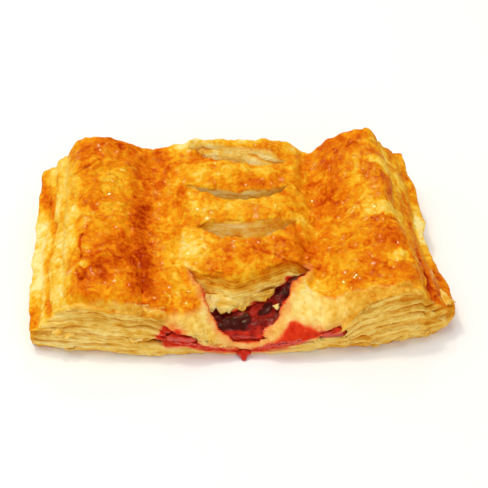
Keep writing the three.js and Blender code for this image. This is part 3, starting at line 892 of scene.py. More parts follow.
@dataclass
class Crust:
    """The browned top of the strip: its fine relief and how brown it is, place by place.

    The marks on it lie where they are seen in the frame; shift takes them to the design.
    """

    grain: Grain
    shift: Array
    blister_seed: int = 11
    blister_table: int = 64
    blister_least: float = 0.35
    blister_more: float = 0.5
    blister_low: float = 0.4
    bare_from: Line = Line(
        (-62, -52, -44, -36, -30, -25, -21, -18, -14.4, -14)
        + (13, 15, 19.5, 26.5, 31.4, 36.2, 40, 50, 61),
        (-34.2, -35.4, -36.6, -36.4, -36.8, -38, -39.2, -38.6, -36.2, -32)
        + (-32, -34.6, -33.8, -33.6, -35.2, -36.4, -36.4, -37.2, -36),
    )
    spots: tuple[Spot, ...] = (
        Spot(-34.0, 4, 3.6, 44, 0.2),
        Spot(-34.4, -16, 4.0, 15, 0.22),
        Spot(-27, 34, 5, 12, 0.14),
        Spot(-50, -20, 8, 9, 0.24),
        Spot(-42, -16, 5, 14, 0.12),
        Spot(-43, 4, 8, 12, 0.04),
        Spot(-56, 14, 5, 14, -0.08),
        Spot(-22.5, -14, 4.0, 22, -0.12, turn=8),
        Spot(-22, -28, 6, 6, -0.1),
        Spot(0, 28, 22, 5, -0.24),
        Spot(0, 9, 22, 6, -0.14),
        Spot(-14, 8, 6, 5, -0.08),
        Spot(2, -26, 12, 5, -0.17),
        Spot(-3, 45.5, 20, 2.6, -0.34),
        Spot(-18, 44, 5, 3, -0.34),
        Spot(25, 42, 5, 5, -0.26),
        Spot(-16, -11, 5, 9, -0.4),
        Spot(-9, -14, 8, 9, -0.08),
        Spot(3, -15, 5, 3, 0.08, turn=-8),
        Spot(14, -14, 7, 4, 0.14, turn=-8),
        Spot(-59.5, 0, 3.4, 36, -0.32),
        Spot(24.5, 6, 3, 34, -0.14, turn=-6),
        Spot(24, -27.5, 5, 6, -0.36),
        Spot(20, -33, 5, 4, -0.3),
        Spot(38, 20, 4, 13, 0.08, turn=-12),
        Spot(40, 40, 6, 6, 0.12),
        Spot(47, 34, 7, 6, 0.06),
        Spot(47, 8, 5, 5, -0.08),
        Spot(58, 38, 5, 4, -0.2),
        Spot(44, -14, 10, 12, 0.14, turn=20),
        Spot(54, -15, 6, 6, 0.12),
        Spot(47, -27, 11, 5, 0.14),
        Spot(46, 14, 7, 7, -0.06),
        Spot(36, -18, 5, 6, -0.1),
        Spot(58, 14, 4, 9, 0.1),
    )
    washed: tuple[Spot, ...] = (
        Spot(-41.8, 28.7, 4, 5, 1.0),
        Spot(-43.6, 16.6, 4, 4, 1.0),
        Spot(-39.3, 9.6, 5, 4, 1.0),
        Spot(-8, 5.5, 9, 3.5, 1.0),
        Spot(4, 8, 9, 3, 0.6),
        Spot(-12.6, 27.6, 7, 3, 0.7),
        Spot(-20, -6, 3.5, 5, 1.0),
        Spot(-1.5, -11.5, 6, 4, 0.9),
        Spot(-11.9, -15.3, 5, 4, 0.7),
        Spot(35.8, -18.4, 4, 5, 1.0),
        Spot(40, -27.7, 6, 4, 1.0),
        Spot(38.6, 6.4, 3, 4, 0.9),
        Spot(68.1, -19.2, 3, 5, 1.0),
        Spot(-31, -4, 4, 8, 0.6),
        Spot(-58, -24, 3, 4, 0.9),
        Spot(-48, -22, 4, 4, 0.9),
        Spot(-48, -12, 8, 8, 0.5),
        Spot(-33, 39, 4, 3, 0.8),
        Spot(42.8, -10, 4, 4, 1.0),
        Spot(16, -19, 4, 3, 0.8),
    )
    creases: tuple[Crease, ...] = (
        Crease(((-60.8, 28.8), (-56.9, 26.6), (-53.2, 28.2), (-49.5, 31.4)), 0.8, 0.9, 0.25, 0.16),
        Crease(((-55, -4.5), (-55.3, -11), (-55, -17)), 0.55, 1.1, 0.3, 0.34),
        Crease(((-56.4, -22.5), (-55.2, -27), (-53, -23)), 0.7, 0.8, 0.2, 0.2),
        Crease(((-60, 12), (-54, 9), (-46, 12)), 0.8, 0.5, 0.2, 0.08),
        Crease(((-34.6, -20), (-34, -42)), 1.0, 1.0, 0.0, 0.14),
        Crease(((38.5, 30), (37.5, 21), (37, 14)), 1.4, 0.9, 0.0, 0.12),
        Crease(((30, 28), (33, 24), (36, 27)), 0.8, 0.5, 0.1, 0.1),
        Crease(((36, 2), (41, 4), (47, 5.5), (54, 4)), 0.8, 0.5, 0.1, 0.1),
        Crease(((38, -11), (43, -8), (48, -7)), 0.8, 0.5, 0.1, 0.1),
        Crease(((30, -14), (27, -22), (24, -28)), 1.4, 0.6, 0.1, 0.08),
        Crease(((2, -13), (8, -15), (15, -19), (20, -25)), 0.9, 0.5, 0.1, 0.14),
        Crease(((40, 34.5), (44, 37.5), (49, 36)), 0.8, 0.5, 0.1, 0.1),
        Crease(((49, -3.0), (54, -4.4), (59.6, -4.6)), 0.6, 0.7, 0.2, 0.24),
        # The groove between the right block and its ledge, tinted darker: painted shade in the groove.
        Crease(((64, -28), (64, -33), (63.6, -38)), 1.0, 1.5, 0.3, 0.4),
        Crease(((-20, -16), (-17.6, -20), (-12, -24)), 1.2, 0.5, 0.3, -0.12),
        Crease(((-20.8, 0.4), (-22.4, -6.9), (-21.6, -16.3), (-19.2, -25)), 2.4, 1.1, 0.5, 0.08),
        Crease(((-18.5, 20.4), (-20, 12), (-18.6, 1.7)), 2.0, 0.9, 0.45, 0.06),
        Crease(((-23, 34.6), (-22.4, 26.8), (-18.6, 19)), 2.0, 0.8, 0.4, 0.06),
        Crease(((21.4, -0.7), (23.8, -12.2), (21, -25)), 2.2, 0.9, 0.4, 0.08),
        Crease(((28.4, 40), (27, 23.7), (23.2, 10.9)), 2.0, 0.7, 0.3, 0.06),
        Crease(((-56, 22), (-50, 19.5), (-44, 21.5), (-40, 19)), 1.2, 0.5, 0.4, 0.04),
        Crease(((-52, 12), (-47, 9.5), (-41, 11)), 1.2, 0.5, 0.4, 0.05),
        Crease(((-49, 2), (-44, -1), (-40, 1)), 1.1, 0.5, 0.35, 0.05),
    )
    bare_toast: Line = Line(
        (-62, -55, -45, -36, -30, -24, -19, -12, 0)
        + (12, 16, 20, 27, 30, 33, 36, 42, 50, 60),
        (0.35, 0.5, 0.56, 0.62, 0.56, 0.46, 0.42, 0.34, 0.3)
        + (0.32, 0.28, 0.24, 0.27, 0.42, 0.42, 0.54, 0.58, 0.56, 0.6),
    )
    left_marks: tuple[SideTone, ...] = (
        SideTone(-71, 34, 15, 6, 11, 2.4, 0.42),
        SideTone(-69, 24, 15.6, 3, 8, 1.4, 0.2),
        SideTone(-68, 0, 15.2, 3, 20, 0.9, 0.16),
        SideTone(-69, -7, 12.4, 2, 3, 1.2, 0.3),
        SideTone(-67, -29, 13, 3, 6, 1.0, 0.3),
        SideTone(-72, -30, 8.4, 4, 7, 1.8, 0.45),
        SideTone(-71, -35, 5, 4, 3, 3, 0.3),
        SideTone(-72, 6, 11, 4, 22, 2, -0.14),
        SideTone(-64, 40, 21.5, 4, 8, 3, -0.08),
    )
    right_marks: tuple[SideTone, ...] = (
        SideTone(69.5, 5, 11, 3, 11, 2.4, -0.55),
        SideTone(71, -24, 10, 6, 13, 3.4, 0.1),
        # Dark line along the same groove on the right end: painted shade in the groove.
        SideTone(65.4, -28, 14.5, 1.4, 10, 1.4, 0.3),
        SideTone(62, -33, 17.2, 2.4, 9, 1.4, -0.22),
        SideTone(66, 34, 20, 5, 9, 3, -0.26),
        SideTone(70, 42, 12, 4, 6, 6, -0.2),
        SideTone(72, 8, 3, 8, 40, 4, -0.3),
    )
    torn: tuple[Torn, ...] = (
        Torn(58.6, 25.2, 7.8, 4.8, turn=-14),
        Torn(53.4, 0.6, 8.0, 4.9, turn=-8),
        Torn(55.2, -23.2, 4.6, 3.2, turn=8),
        Torn(-54, -19.5, 2.6, 1.7, turn=10),
    )
    torn_edge: Ripples = (lump(0.35, 2.2, 3.3), lump(0.2, 0.9, 9.1))
    torn_fade: Fade = (0.5, 1.1)
    torn_back: float = 0.15
    torn_slope: Fade = (-0.6, 0.9)
    torn_brown: float = 0.16
    torn_shows: float = 0.75
    bubble: Bubble = Bubble()
    stir: Stir = Stir(1.2, 6, (1.5, 7.5))
    soft: Ripples = (lump(0.5, 7, 0.5), lump(0.42, 3.4, 4.5))
    soft_level: float = 0.3
    blister_pitch: float = 5.6
    fine: Ripples = (lump(0.16, 2.1, 8.5), lump(0.05, 1.2, 12.5))
    pimple_pitch: float = 3.4
    pimple_height: float = 0.9
    pimple_level: float = 0.5
    # How much paler bump tops and browner hollows are painted: partly egg wash pooling in the hollows, partly
    # painted light and shade.
    pimple_pale: float = 0.1
    pimple_most: float = 0.8
    ridges: Ripple = Ripple(1.0, 3.0, 5.6, pattern=20.5)
    ridge_height: float = 0.55
    crease_stir: Stir = Stir(0.8, 3, (26.5, 28.5))
    crease_core: float = 0.55
    crease_tint_reach: float = 0.7
    brown: float = 0.585
    brown_stir: Stir = Stir(2.5, 9, (30.5, 34.5))
    brown_ripples: Ripples = (
        lump(0.14, 11, 38.5),
        Ripple(0.13, 4.6, 6.0, pattern=42.5),
        Ripple(0.08, 1.9, 2.4, pattern=46.5),
    )
    pale_rim: float = 0.2
    pale_rim_width: float = 2.4
    dark_from: float = 0.72
    dark_room: float = 0.22
    bare_edge: Ripples = (lump(1.3, 3.4, 71.5), lump(0.7, 1.3, 75.5))
    bare_middle: float = 3
    bare_fade: Fade = (-1.4, 2.0)
    crisp_from: Fade = (26, 36)
    crisp: float = 1.9
    end_edge: Ripples = (Ripple(3.0, 7, 7, 7, 11.5), Ripple(1.2, 2.2, 2.2, 2.2, 15.5))
    end_streaks: Ripples = (Ripple(0.13, 2.2, 13, 1.7, 19.5), Ripple(0.12, 1.8, 3.4, 1.4, 23.5))
    left_brown: float = 0.26
    left_end: Fade = (-64.0, -58.4)
    right_brown: float = 0.58
    right_ragged: float = 0.6
    right_streaks: float = 1.2
    right_end: Fade = (60.5, 63.5)

    def seen(self, x: Array, y: Array) -> Pair:
        """Points of the design as places in the frame."""
        return x + self.shift[0], y + self.shift[1]

    def blisters(self, x: Array, y: Array, pitch: float, layer: int) -> Array:
        """Round bumps scattered over the crust.

        Args:
            x: places along X.
            y: places along Y.
            pitch: room for one bump.
            layer: number of the scatter.

        Returns:
            Height from 0 to 1.
        """
        draw = np.random.default_rng(self.blister_seed + layer)
        table = draw.uniform(0, 1, (self.blister_table, self.blister_table, 4))
        mask = self.blister_table - 1
        gx, gy = x / pitch, y / pitch
        i0, j0 = np.floor(gx).astype(int), np.floor(gy).astype(int)
        best = np.zeros(np.shape(x))
        for di in (-1, 0, 1):
            for dj in (-1, 0, 1):
                i, j = i0 + di, j0 + dj
                cell = table[i & mask, j & mask]
                cx, cy = i + cell[..., 0], j + cell[..., 1]
                size = self.blister_least + self.blister_more * cell[..., 2]
                r = np.hypot(gx - cx, gy - cy) / size
                height = mix(self.blister_low, 1, cell[..., 3]) * size
                best = np.maximum(best, height * np.clip(1 - r * r, 0, 1))
        return best

    def torn_share(self, x: Array, y: Array) -> Pair:
        """Where the top leaf is off.

        Args:
            x: places along X.
            y: places along Y.

        Returns:
            A share from 0 to 1 and the depth in millimetres.
        """
        share = np.zeros(np.shape(x))
        depth = np.zeros(np.shape(x))
        ragged = ripples_at(self.torn_edge, self.grain, x, y)
        for place in self.torn:
            across, along = place.shares(*self.seen(x, y))
            on = 1 - smooth(np.hypot(across, along) + ragged, *self.torn_fade)
            share = np.maximum(share, on)
            lower = mix(self.torn_back, 1, smooth(-along, *self.torn_slope))
            depth = np.maximum(depth, on * place.depth * lower)
        return share, depth

    def pimples(self, x: Array, y: Array) -> Array:
        """The finest bumps and wrinkles of the crust, in millimetres round 0."""
        sx, sy = self.stir.at(self.grain, x, y)
        wx, wy = x + sx, y + sy
        small = self.pimple_height * self.blisters(wx, wy, self.pimple_pitch, 1)
        ridge = 1 - np.abs(self.ridges.at(self.grain, wx, wy))
        total = ripples_at(self.fine, self.grain, wx, wy) + small
        return total + self.ridge_height * ridge**3 - self.pimple_level

    def relief(self, x: Array, y: Array) -> Array:
        """Fine height of the crust over the smooth form."""
        sx, sy = self.stir.at(self.grain, x, y)
        wx, wy = x + sx, y + sy
        total = ripples_at(self.soft, self.grain, wx, wy) + self.blisters(wx, wy, self.blister_pitch, 0)
        total = total + self.pimples(x, y) - self.soft_level
        mx, my = self.seen(x, y)
        sx, sy = self.crease_stir.at(self.grain, x, y)
        for crease in self.creases:
            d = crease.distance(mx + sx, my + sy)
            total = total - crease.depth * bell(d / (self.crease_core * crease.width))
            total = total + crease.rise * bell((d - crease.width) / crease.width)
        ring, hollow = self.bubble.relief(mx, my)
        _, torn = self.torn_share(x, y)
        return total + ring - hollow - torn

    def browning_and_shade(self, x: Array, y: Array, from_edge: Array) -> Array:
        """How brown the crust is, from 0 for raw to 1 for dark, with painted shade in its creases and
        hollows.

        Args:
            x: places along X.
            y: places along Y.
            from_edge: distance from the crust's edge.

        Returns:
            One value for each point.
        """
        g = self.grain
        mx, my = self.seen(x, y)
        level = self.brown + sum(spot.felt(mx, my) for spot in self.spots)
        # Bump tops painted paler and hollows browner: partly egg wash pooling in the hollows, partly painted
        # light on the tops and painted shade in the hollows.
        pimples = np.clip(self.pimples(x, y), -self.pimple_most, self.pimple_most)
        level = level - self.pimple_pale * pimples
        sx, sy = self.brown_stir.at(g, x, y)
        level = level + ripples_at(self.brown_ripples, g, x + sx, y + sy)
        sx, sy = self.crease_stir.at(g, x, y)
        # Browner along each fold: painted shade in the creases.
        for crease in self.creases:
            off = crease.distance(mx + sx, my + sy) / (self.crease_tint_reach * crease.width)
            level = level + crease.tint * bell(off)
        level = level - self.pale_rim * (1 - smooth(from_edge, 0.0, self.pale_rim_width))
        share, _ = self.torn_share(x, y)
        level = mix(level, self.torn_brown, self.torn_shows * share)
        over = (level - self.dark_from) / self.dark_room
        return np.where(over > 0, self.dark_from + self.dark_room * np.tanh(over), level)

    def gloss(self, x: Array, y: Array) -> Array:
        """Where the egg wash is thick enough to shine, from 0 to 1."""
        return np.max([spot.felt(*self.seen(x, y)) for spot in self.washed], axis=0)

    def bare_share(self, x: Array, y: Array) -> Array:
        """Where the top is bare pale dough, in front of the browned crust, from 0 to 1."""
        mx, my = self.seen(x, y)
        behind = my - self.bare_from.at(mx) + ripples_at(self.bare_edge, self.grain, x, y)
        crisp = mix(1.0, self.crisp, smooth(np.abs(mx - self.bare_middle), *self.crisp_from))
        return 1 - smooth(behind * crisp, *self.bare_fade)

    def end_browning(self, x: Array, y: Array, z: Array) -> Pair:
        """How brown the two ends are, and where they take over from the top.

        Args:
            x: places along X.
            y: places along Y.
            z: heights.

        Returns:
            The browning and the share from 0 to 1.
        """
        mx, my = self.seen(x, y)
        ragged = ripples_at(self.end_edge, self.grain, x, y, z)
        streaks = ripples_at(self.end_streaks, self.grain, x, y, z)
        on_left = 1 - smooth(mx + ragged, *self.left_end)
        left = self.left_brown + streaks + sum(place.felt(mx, my, z) for place in self.left_marks)
        on_right = smooth(mx + self.right_ragged * ragged, *self.right_end)
        right = self.right_brown + self.right_streaks * streaks
        right = right + sum(place.felt(mx, my, z) for place in self.right_marks)
        return np.where(x < 0, left, right), np.maximum(on_left, on_right)


@dataclass(frozen=True)
class Layers:
    """The leaves of the dough, as their edges show in the walls and in the openings."""

    grain: Grain
    fold_at: float
    leaf: float = 0.66
    leaf_height: float = 18
    leaf_share: Fade = (0.55, 1.15)
    leaf_waves: Ripples = (
        Ripple(0.8, 19, 19, 9, 11),
        Ripple(0.45, 6, 6, 4, 3),
        Ripple(0.5, 2.6, 2.6, 1.8, 7),
    )
    each_leaf: Ripple = lump(0.26, 7)
    leaf_bits: Ripple = lump(0.2, 2.4, 7)
    notch: float = 0.24
    notch_width: float = 0.26
    bundle: float = 3.6
    bundle_wave: Ripple = Ripple(0.4, 13, 13, 7, 2)
    each_bundle: Ripple = lump(0.75, 17, 31)
    puff: float = 0.45
    leaf_level: float = 0.35
    gap_depth: float = 1.5
    gap_width: float = 0.06
    gap_widens: float = 0.08
    gap_fade: Fade = (-0.25, 0.55)
    gap_places: Ripple = lump(1.0, 10, 3)
    crumple: Ripples = (Ripple(0.45, 3.0, 3.0, 1.8), Ripple(0.3, 1.3, 1.3, 0.9))
    frill: float = 0.9
    frill_least: float = 0.4
    frill_fade: Fade = (-0.4, 0.5)
    frill_out: float = 0.35
    frill_rim: Fade = (0.9, 1.4)
    frill_hollow: tuple[float, ...] = (1.1, 1.6, 2.2, 3.4)
    frill_places: Ripple = lump(1.0, 8, 51.5)
    frill_edge: Ripple = lump(0.5, 2.3, 55.5)
    upper_leaves: int = 100

    def number(self, x: Array, y: Array, z: Array, top: Array) -> Array:
        """Which leaf of dough a point is in, counted from the bottom or from the crust.

        Args:
            x: places along X.
            y: places along Y.
            z: heights.
            top: height of the smooth top there.

        Returns:
            The number with its fraction.
        """
        pitch = self.leaf * np.clip(top / self.leaf_height, *self.leaf_share)
        upper = self.upper_leaves + (top - z) / pitch
        number = np.where(z / top > self.fold_at, upper, z / pitch)
        return number + ripples_at(self.leaf_waves, self.grain, x, y, z)

    def relief(self, x: Array, y: Array, number: Array) -> Array:
        """How far in each leaf's edge stands.

        Args:
            x: places along X.
            y: places along Y.
            number: leaf number with its fraction.

        Returns:
            Millimetres, more where the leaf stands back.
        """
        g = self.grain
        whole = np.floor(number)
        part = number - whole
        each = self.each_leaf.on_leaf(g, x, y, whole) + self.leaf_bits.on_leaf(g, x, y, whole)
        notch = self.notch * (1 - smooth(np.minimum(part, 1 - part), 0.0, self.notch_width))
        bundle = number / self.bundle + self.bundle_wave.at(g, x, y, number)
        nearest = np.round(bundle)
        off = np.abs(bundle - nearest)
        open_here = smooth(self.gap_places.on_leaf(g, x, y, nearest), *self.gap_fade)
        gap = self.gap_depth * open_here * bell(off / (self.gap_width + self.gap_widens * open_here))
        own = self.each_bundle.on_leaf(g, x, y, np.floor(bundle))
        puffed = self.puff * (1 - 2 * off) ** 2
        crumpled = ripples_at(self.crumple, g, x, y, number)
        return each + notch + gap + own + puffed + crumpled - self.leaf_level

    def frill_relief(self, x: Array, y: Array, below: Array) -> Array:
        """The crust's ragged edge: it stands out over a hollow just under it.

        Args:
            x: places along X.
            y: places along Y.
            below: depth under the smooth top.

        Returns:
            Millimetres, more where the wall stands back.
        """
        strong = mix(self.frill_least, 1, smooth(self.frill_places.at(self.grain, x, y), *self.frill_fade))
        out = self.frill_out + self.frill_edge.at(self.grain, x, y)
        out = out * (1 - smooth(below, *self.frill_rim))
        starts, full, ends, gone = self.frill_hollow
        hollow = self.frill * smooth(below, starts, full) * (1 - smooth(below, ends, gone))
        return strong * (hollow - out)


@dataclass(frozen=True)
class EndSkin:
    """The rough skin of the two ends, with a fold along each."""

    grain: Grain
    shift: Array
    ripples: Ripples = (
        Ripple(0.7, 7, 8, 6, 61.5),
        Ripple(0.45, 3.2, 3.8, 2.8, 65.5),
        Ripple(0.3, 1.4, 2.1, 1.4, 69.5),
    )
    ridges: Ripple = Ripple(1.0, 2.6, 9, 2.6, 79.5)
    ridge_depth: float = 0.45
    left_fold: Line = Line(
        (-36, -33, -25, -5, 3, 19, 27, 37, 47), (13.6, 13.4, 13, 13.2, 15, 15.7, 16.7, 18.5, 19.2)
    )
    left_fold_wave: Ripple = lump(0.6, 5, 81.5)
    left_fold_width: float = 0.8
    right_fold: Line = Line((-42, -38, -33, -25, -17, -8), (12.4, 12.9, 14.6, 14.5, 14.2, 13.6))
    right_fold_wave: Ripple = lump(0.6, 5, 83.5)
    right_fold_width: float = 0.7
    right_fold_depth: float = 1.5
    right_fold_ends: Fade = (-16, -8)
    lean: float = 0.12
    height: float = 8
    fade: Fade = (-1.6, 0.8)
    depth: Fade = (-4.5, -3.0)

    def relief(self, x: Array, y: Array, z: Array) -> Array:
        """How far in the rough skin of the two ends stands, with a fold along each."""
        g = self.grain
        ridge = (1 - np.abs(self.ridges.at(g, x, y, z))) ** 3
        left = self.left_fold.at(y + self.shift[1]) + self.left_fold_wave.at(g, x, y)
        right = self.right_fold.at(y + self.shift[1]) + self.right_fold_wave.at(g, x, y)
        on_left = bell((z - left) / self.left_fold_width)
        on_right = bell((z - right) / self.right_fold_width) * (1 - smooth(y, *self.right_fold_ends))
        rough = ripples_at(self.ripples, g, x, y, z) - self.ridge_depth * ridge
        return rough + np.where(x < 0, on_left, self.right_fold_depth * on_right)

    def share(self, ends: Array, sides: Array, z: Array) -> Array:
        """Where the rough skin of the ends takes over from cut layers, from 0 to 1."""
        return smooth(ends - sides + self.lean * (z - self.height), *self.fade)


SMEAR_AT = (-31, -29, -27, -22, -17, -14, -9, -2, 3, 5.5, 8.4, 13.6, 15.3, 18.5, 22.4, 25.5, 31, 33)


@dataclass
class Dough:
    """The two sheets of layered dough: one closed mesh with its crust, layers, slits and mouth."""

    form: StripForm
    bed: BedForm
    crust: Crust
    layers: Layers
    skin: EndSkin
    grain: Grain
    shift: Array
    finish: "DoughFinish"
    room: Block = Block((-76.5, -50.0, -0.7), (76.5, 50.0, 34.5), (0.5, 0.5, 0.22))
    most_triangles: int = 190_000
    far: float = 9.0
    wall_zone: float = 4.5
    hole_zone: float = 2.5
    top_zone: float = 1.0
    set_back: float = 0.35
    slit_foot: float = 0.5
    slit_fade: float = 4
    slit_narrow: float = 0.45
    slit_relief: float = 0.32
    slit_grip: float = 0.4
    roof_relief: float = 0.5
    lip_relief: float = 0.3
    tallest: float = 1.1
    cut_edge: Fade = (0.35, 0.9)
    roof_edge: Fade = (0.3, 2.6)
    roof_edge_ripple: Ripple = Ripple(0.5, 1.6, 1.6, 1.2)
    roof_tone: Fade = (0.95, 0.46)
    roof_tone_depth: Fade = (1.0, 4.5)
    roof_streaks: Ripple = Ripple(0.2, 6, 2, 2, 3)
    roof_rim_brown: float = 0.06
    slit_browned: float = 0.62
    slit_brown: float = 0.21
    # Strength of the painted shade on leaves that stand back in the slits.
    slit_recess_shade: float = 0.3
    slit_brown_depth: Fade = (0.5, 1.8)
    slit_rim: float = 1.4
    # Strength of the painted shade in the hollows and folds of the ends' skin.
    skin_hollow_shade: float = 0.12
    thin_wash: float = 0.3
    wash_depth: Fade = (0.5, 1.5)
    level_ground: Fade = (3.0, 9.0)
    bare_ripples: Ripples = (Ripple(0.14, 3, 3, 3, 91.5), Ripple(0.12, 1.2, 2.4, 1.2, 95.5))
    pale: float = 0.25
    pale_leaf: Ripple = lump(0.2, 9, 13)
    pale_ripples: Ripples = (Ripple(0.16, 12, 12, 5), Ripple(0.12, 2.6, 2.6, 1.8, 33))
    underside: float = 0.4
    underside_toast: float = 0.75
    underside_ripple: Ripple = lump(0.2, 6, 3)
    stain_edge: Ripples = (Ripple(0.9, 3.1, 3.1, 2, 5), Ripple(0.6, 1.2, 1.2, 1.2, 25))
    stain_zone: Fade = (4.0, 9.0)
    smear_fade: Fade = (-1.5, 1.6)
    smear_foot: Fade = (0.5, 5.0)
    blush_fade: Fade = (-1.0, 0.3)
    rim_fade: Fade = (0.2, 1.3)
    touch_fade: Fade = (0.2, 1.4)
    touch_left: Fade = (-15, -11)
    pink_fade: Fade = (0.6, 5.0)
    rim_red: float = 0.66
    pink_red: float = 0.34
    blush_red: float = 0.3
    toasted_and_shaded: tuple[SideTone, ...] = (
        # Under the crust's front-left edge, a browner band: painted shade under the overhang.
        SideTone(-55, -34, 17, 8, 4, 1.5, 0.34),
        SideTone(-63, -36, 11.6, 5, 4, 1.0, 0.4),
        SideTone(-71, -37, 6, 3, 6, 6, 0.4),
        SideTone(57, -40, 17, 8, 6, 4, 0.3),
        SideTone(67, -40, 8, 7, 8, 5, 0.42),
        SideTone(36, -46, 2.8, 9, 4, 0.7, 0.3),
        SideTone(50, -44, 9.3, 12, 4, 0.8, 0.26),
        # A thin darker line along a crease of the front face: painted shade in the crease.
        SideTone(-42, -38, 7, 12, 4, 0.6, 0.14),
        SideTone(-22, -40, 13, 8, 5, 2, -0.2),
        SideTone(22, -40, 12, 10, 6, 4, -0.3),
        SideTone(2, -43, 7, 14, 5, 3, -0.25),
    )
    smear_low: Line = Line(
        SMEAR_AT,
        (9, 6.4, 4.2, 4.0, 3.0, 1.8, 0.6, 0.4, 0.5, 0.9, 1.6, 2.6, 3.5, 5.2, 7.0, 8.6, 9.4, 10.5),
    )
    smear_high: Line = Line(
        SMEAR_AT,
        (9, 11.6, 13.4, 13.0, 9.2, 5.8, 4.8, 4.5, 5.0, 5.8, 7.6, 10.8, 12.2, 12.6, 12.2, 11.6, 11.2, 10.5),
    )
    tables: dict[str, Array] = field(default_factory=dict)

    def lay_out(self, x: Array, y: Array) -> None:
        """Works out what depends on the plan alone, on a grid of points."""
        form = self.form
        t = self.tables
        t["smooth_top"] = form.top(x, y)
        t["top"] = t["smooth_top"] + self.crust.relief(x, y)
        t["bed_top"] = self.bed.height(x, y)
        t["bed_front"] = self.bed.front(x)
        t["bed_under"] = self.bed.under(x, y)

    def faces(self, x: Array, y: Array, share: Array) -> Pair:
        """How far points lie outside the two ends and outside the front and back.

        Args:
            x: places along X.
            y: places along Y.
            share: height as a share of the top's.

        Returns:
            Two distances in millimetres, negative inside.
        """
        form = self.form
        u, v = np.clip(2 * x / form.length, -1, 1), np.clip(2 * y / form.depth, -1, 1)
        pull = 1 - form.corner_pull * (u * v) ** form.corner_power
        px, py = x / pull, y / pull
        shallow = np.where(y < 0, form.droop(px), 0)
        left = form.left(py) + form.end_inset(share, False, py) - px
        right = px - form.right(py) + form.end_inset(share, True, py)
        front = form.front(px) + form.face_inset(share, form.front_slope, shallow) - py
        back = py - form.back(px) + form.face_inset(share, form.back_slope, 0.0)
        return np.maximum(left, right), np.maximum(front, back)

    def level(self, x: Array, y: Array, z: float) -> Array:
        """The field on one level, negative inside the dough.

        Args:
            x: places along X, on the grid.
            y: places along Y.
            z: height of the level.

        Returns:
            Values in millimetres.
        """
        form, t = self.form, self.tables
        top, smooth_top = t["top"], t["smooth_top"]
        ends, sides = self.faces(x, y, np.clip(z / smooth_top, 0, self.tallest))
        walls = np.maximum(ends, sides)
        slits = np.full(x.shape, self.far)
        for slit in form.slits:
            middle, opening = slit.line(x)
            middle = middle + slit.lean * (z - form.mid_height)
            deep = smooth(z, form.slit_floor - self.slit_foot, form.slit_floor + self.slit_fade)
            gap = np.abs(y - middle) - opening * mix(self.slit_narrow, 1, deep)
            gap = np.where((x > slit.start) & (x < slit.end), gap, self.far)
            slits = np.minimum(slits, np.maximum(gap, form.slit_floor - z))
        mouth = form.mouth
        lip = mouth.edge(x, mouth.lip) + mouth.slant(z) - y
        roof = y - mouth.edge(x, mouth.roof) - mouth.slant(z)
        hole = np.maximum(np.maximum(lip, roof), mouth.floor - z)
        hole = np.where((x > mouth.left) & (x < mouth.right), hole, self.far)
        near = (np.abs(walls) < self.wall_zone) | (np.minimum(np.abs(slits), np.abs(hole)) < self.hole_zone)
        near &= z - top < self.top_zone
        relief = np.zeros(x.shape)
        if near.any():
            nx, ny, nz = x[near], y[near], np.full(int(near.sum()), z)
            number = self.layers.number(nx, ny, nz, smooth_top[near])
            layered = self.layers.relief(nx, ny, number)
            layered = layered + self.layers.frill_relief(nx, ny, smooth_top[near] - z)
            skin = self.skin.relief(nx, ny, nz)
            relief[near] = mix(layered + self.set_back, skin, self.skin.share(ends[near], sides[near], nz))
        body = np.maximum(np.maximum(walls + relief, z - top), -z)
        body = np.maximum(body, -(slits - self.slit_relief * np.maximum(relief, -self.slit_grip)))
        under_lip = hole + self.lip_relief * np.minimum(relief, 1.0)
        body = np.maximum(body, -np.where(roof > lip, hole - self.roof_relief * relief, under_lip))
        sides = self.bed.outside(x, y, t["bed_front"])
        fruit = np.maximum(np.maximum(sides, t["bed_under"] - z), z - t["bed_top"])
        return np.maximum(body, self.bed.clearance - fruit)

    def build(self) -> Thing:
        """Makes the mesh and stores what its finish needs.

        Returns:
            The dough's object.
        """
        ax, ay, az = self.room.axes()
        x, y = np.meshgrid(ax.astype(float), ay.astype(float), indexing="ij")
        self.lay_out(x, y)
        values = np.empty((len(ax), len(ay), len(az)), np.float32)
        for k, z in enumerate(az):
            values[:, :, k] = self.level(x, y, float(z))
        LOG.info("field of the dough: %d points", values.size)
        points, faces = skin_of(values, self.room)
        thing = mesh_object("dough", points, faces, self.shift)
        thin_out(thing, self.most_triangles)
        self.mark(thing, ax, ay)
        return thing

    def sample(self, name: str, ax: Array, ay: Array, x: Array, y: Array) -> Array:
        """Reads one of the tables of the plan at points."""
        table = self.tables[name]
        gx = np.clip((x - ax[0]) / self.room.step[0], 0, len(ax) - 1.001)
        gy = np.clip((y - ay[0]) / self.room.step[1], 0, len(ay) - 1.001)
        i, j = gx.astype(int), gy.astype(int)
        s, t = gx - i, gy - j
        low = mix(table[i, j], table[i + 1, j], s)
        high = mix(table[i, j + 1], table[i + 1, j + 1], s)
        return mix(low, high, t)

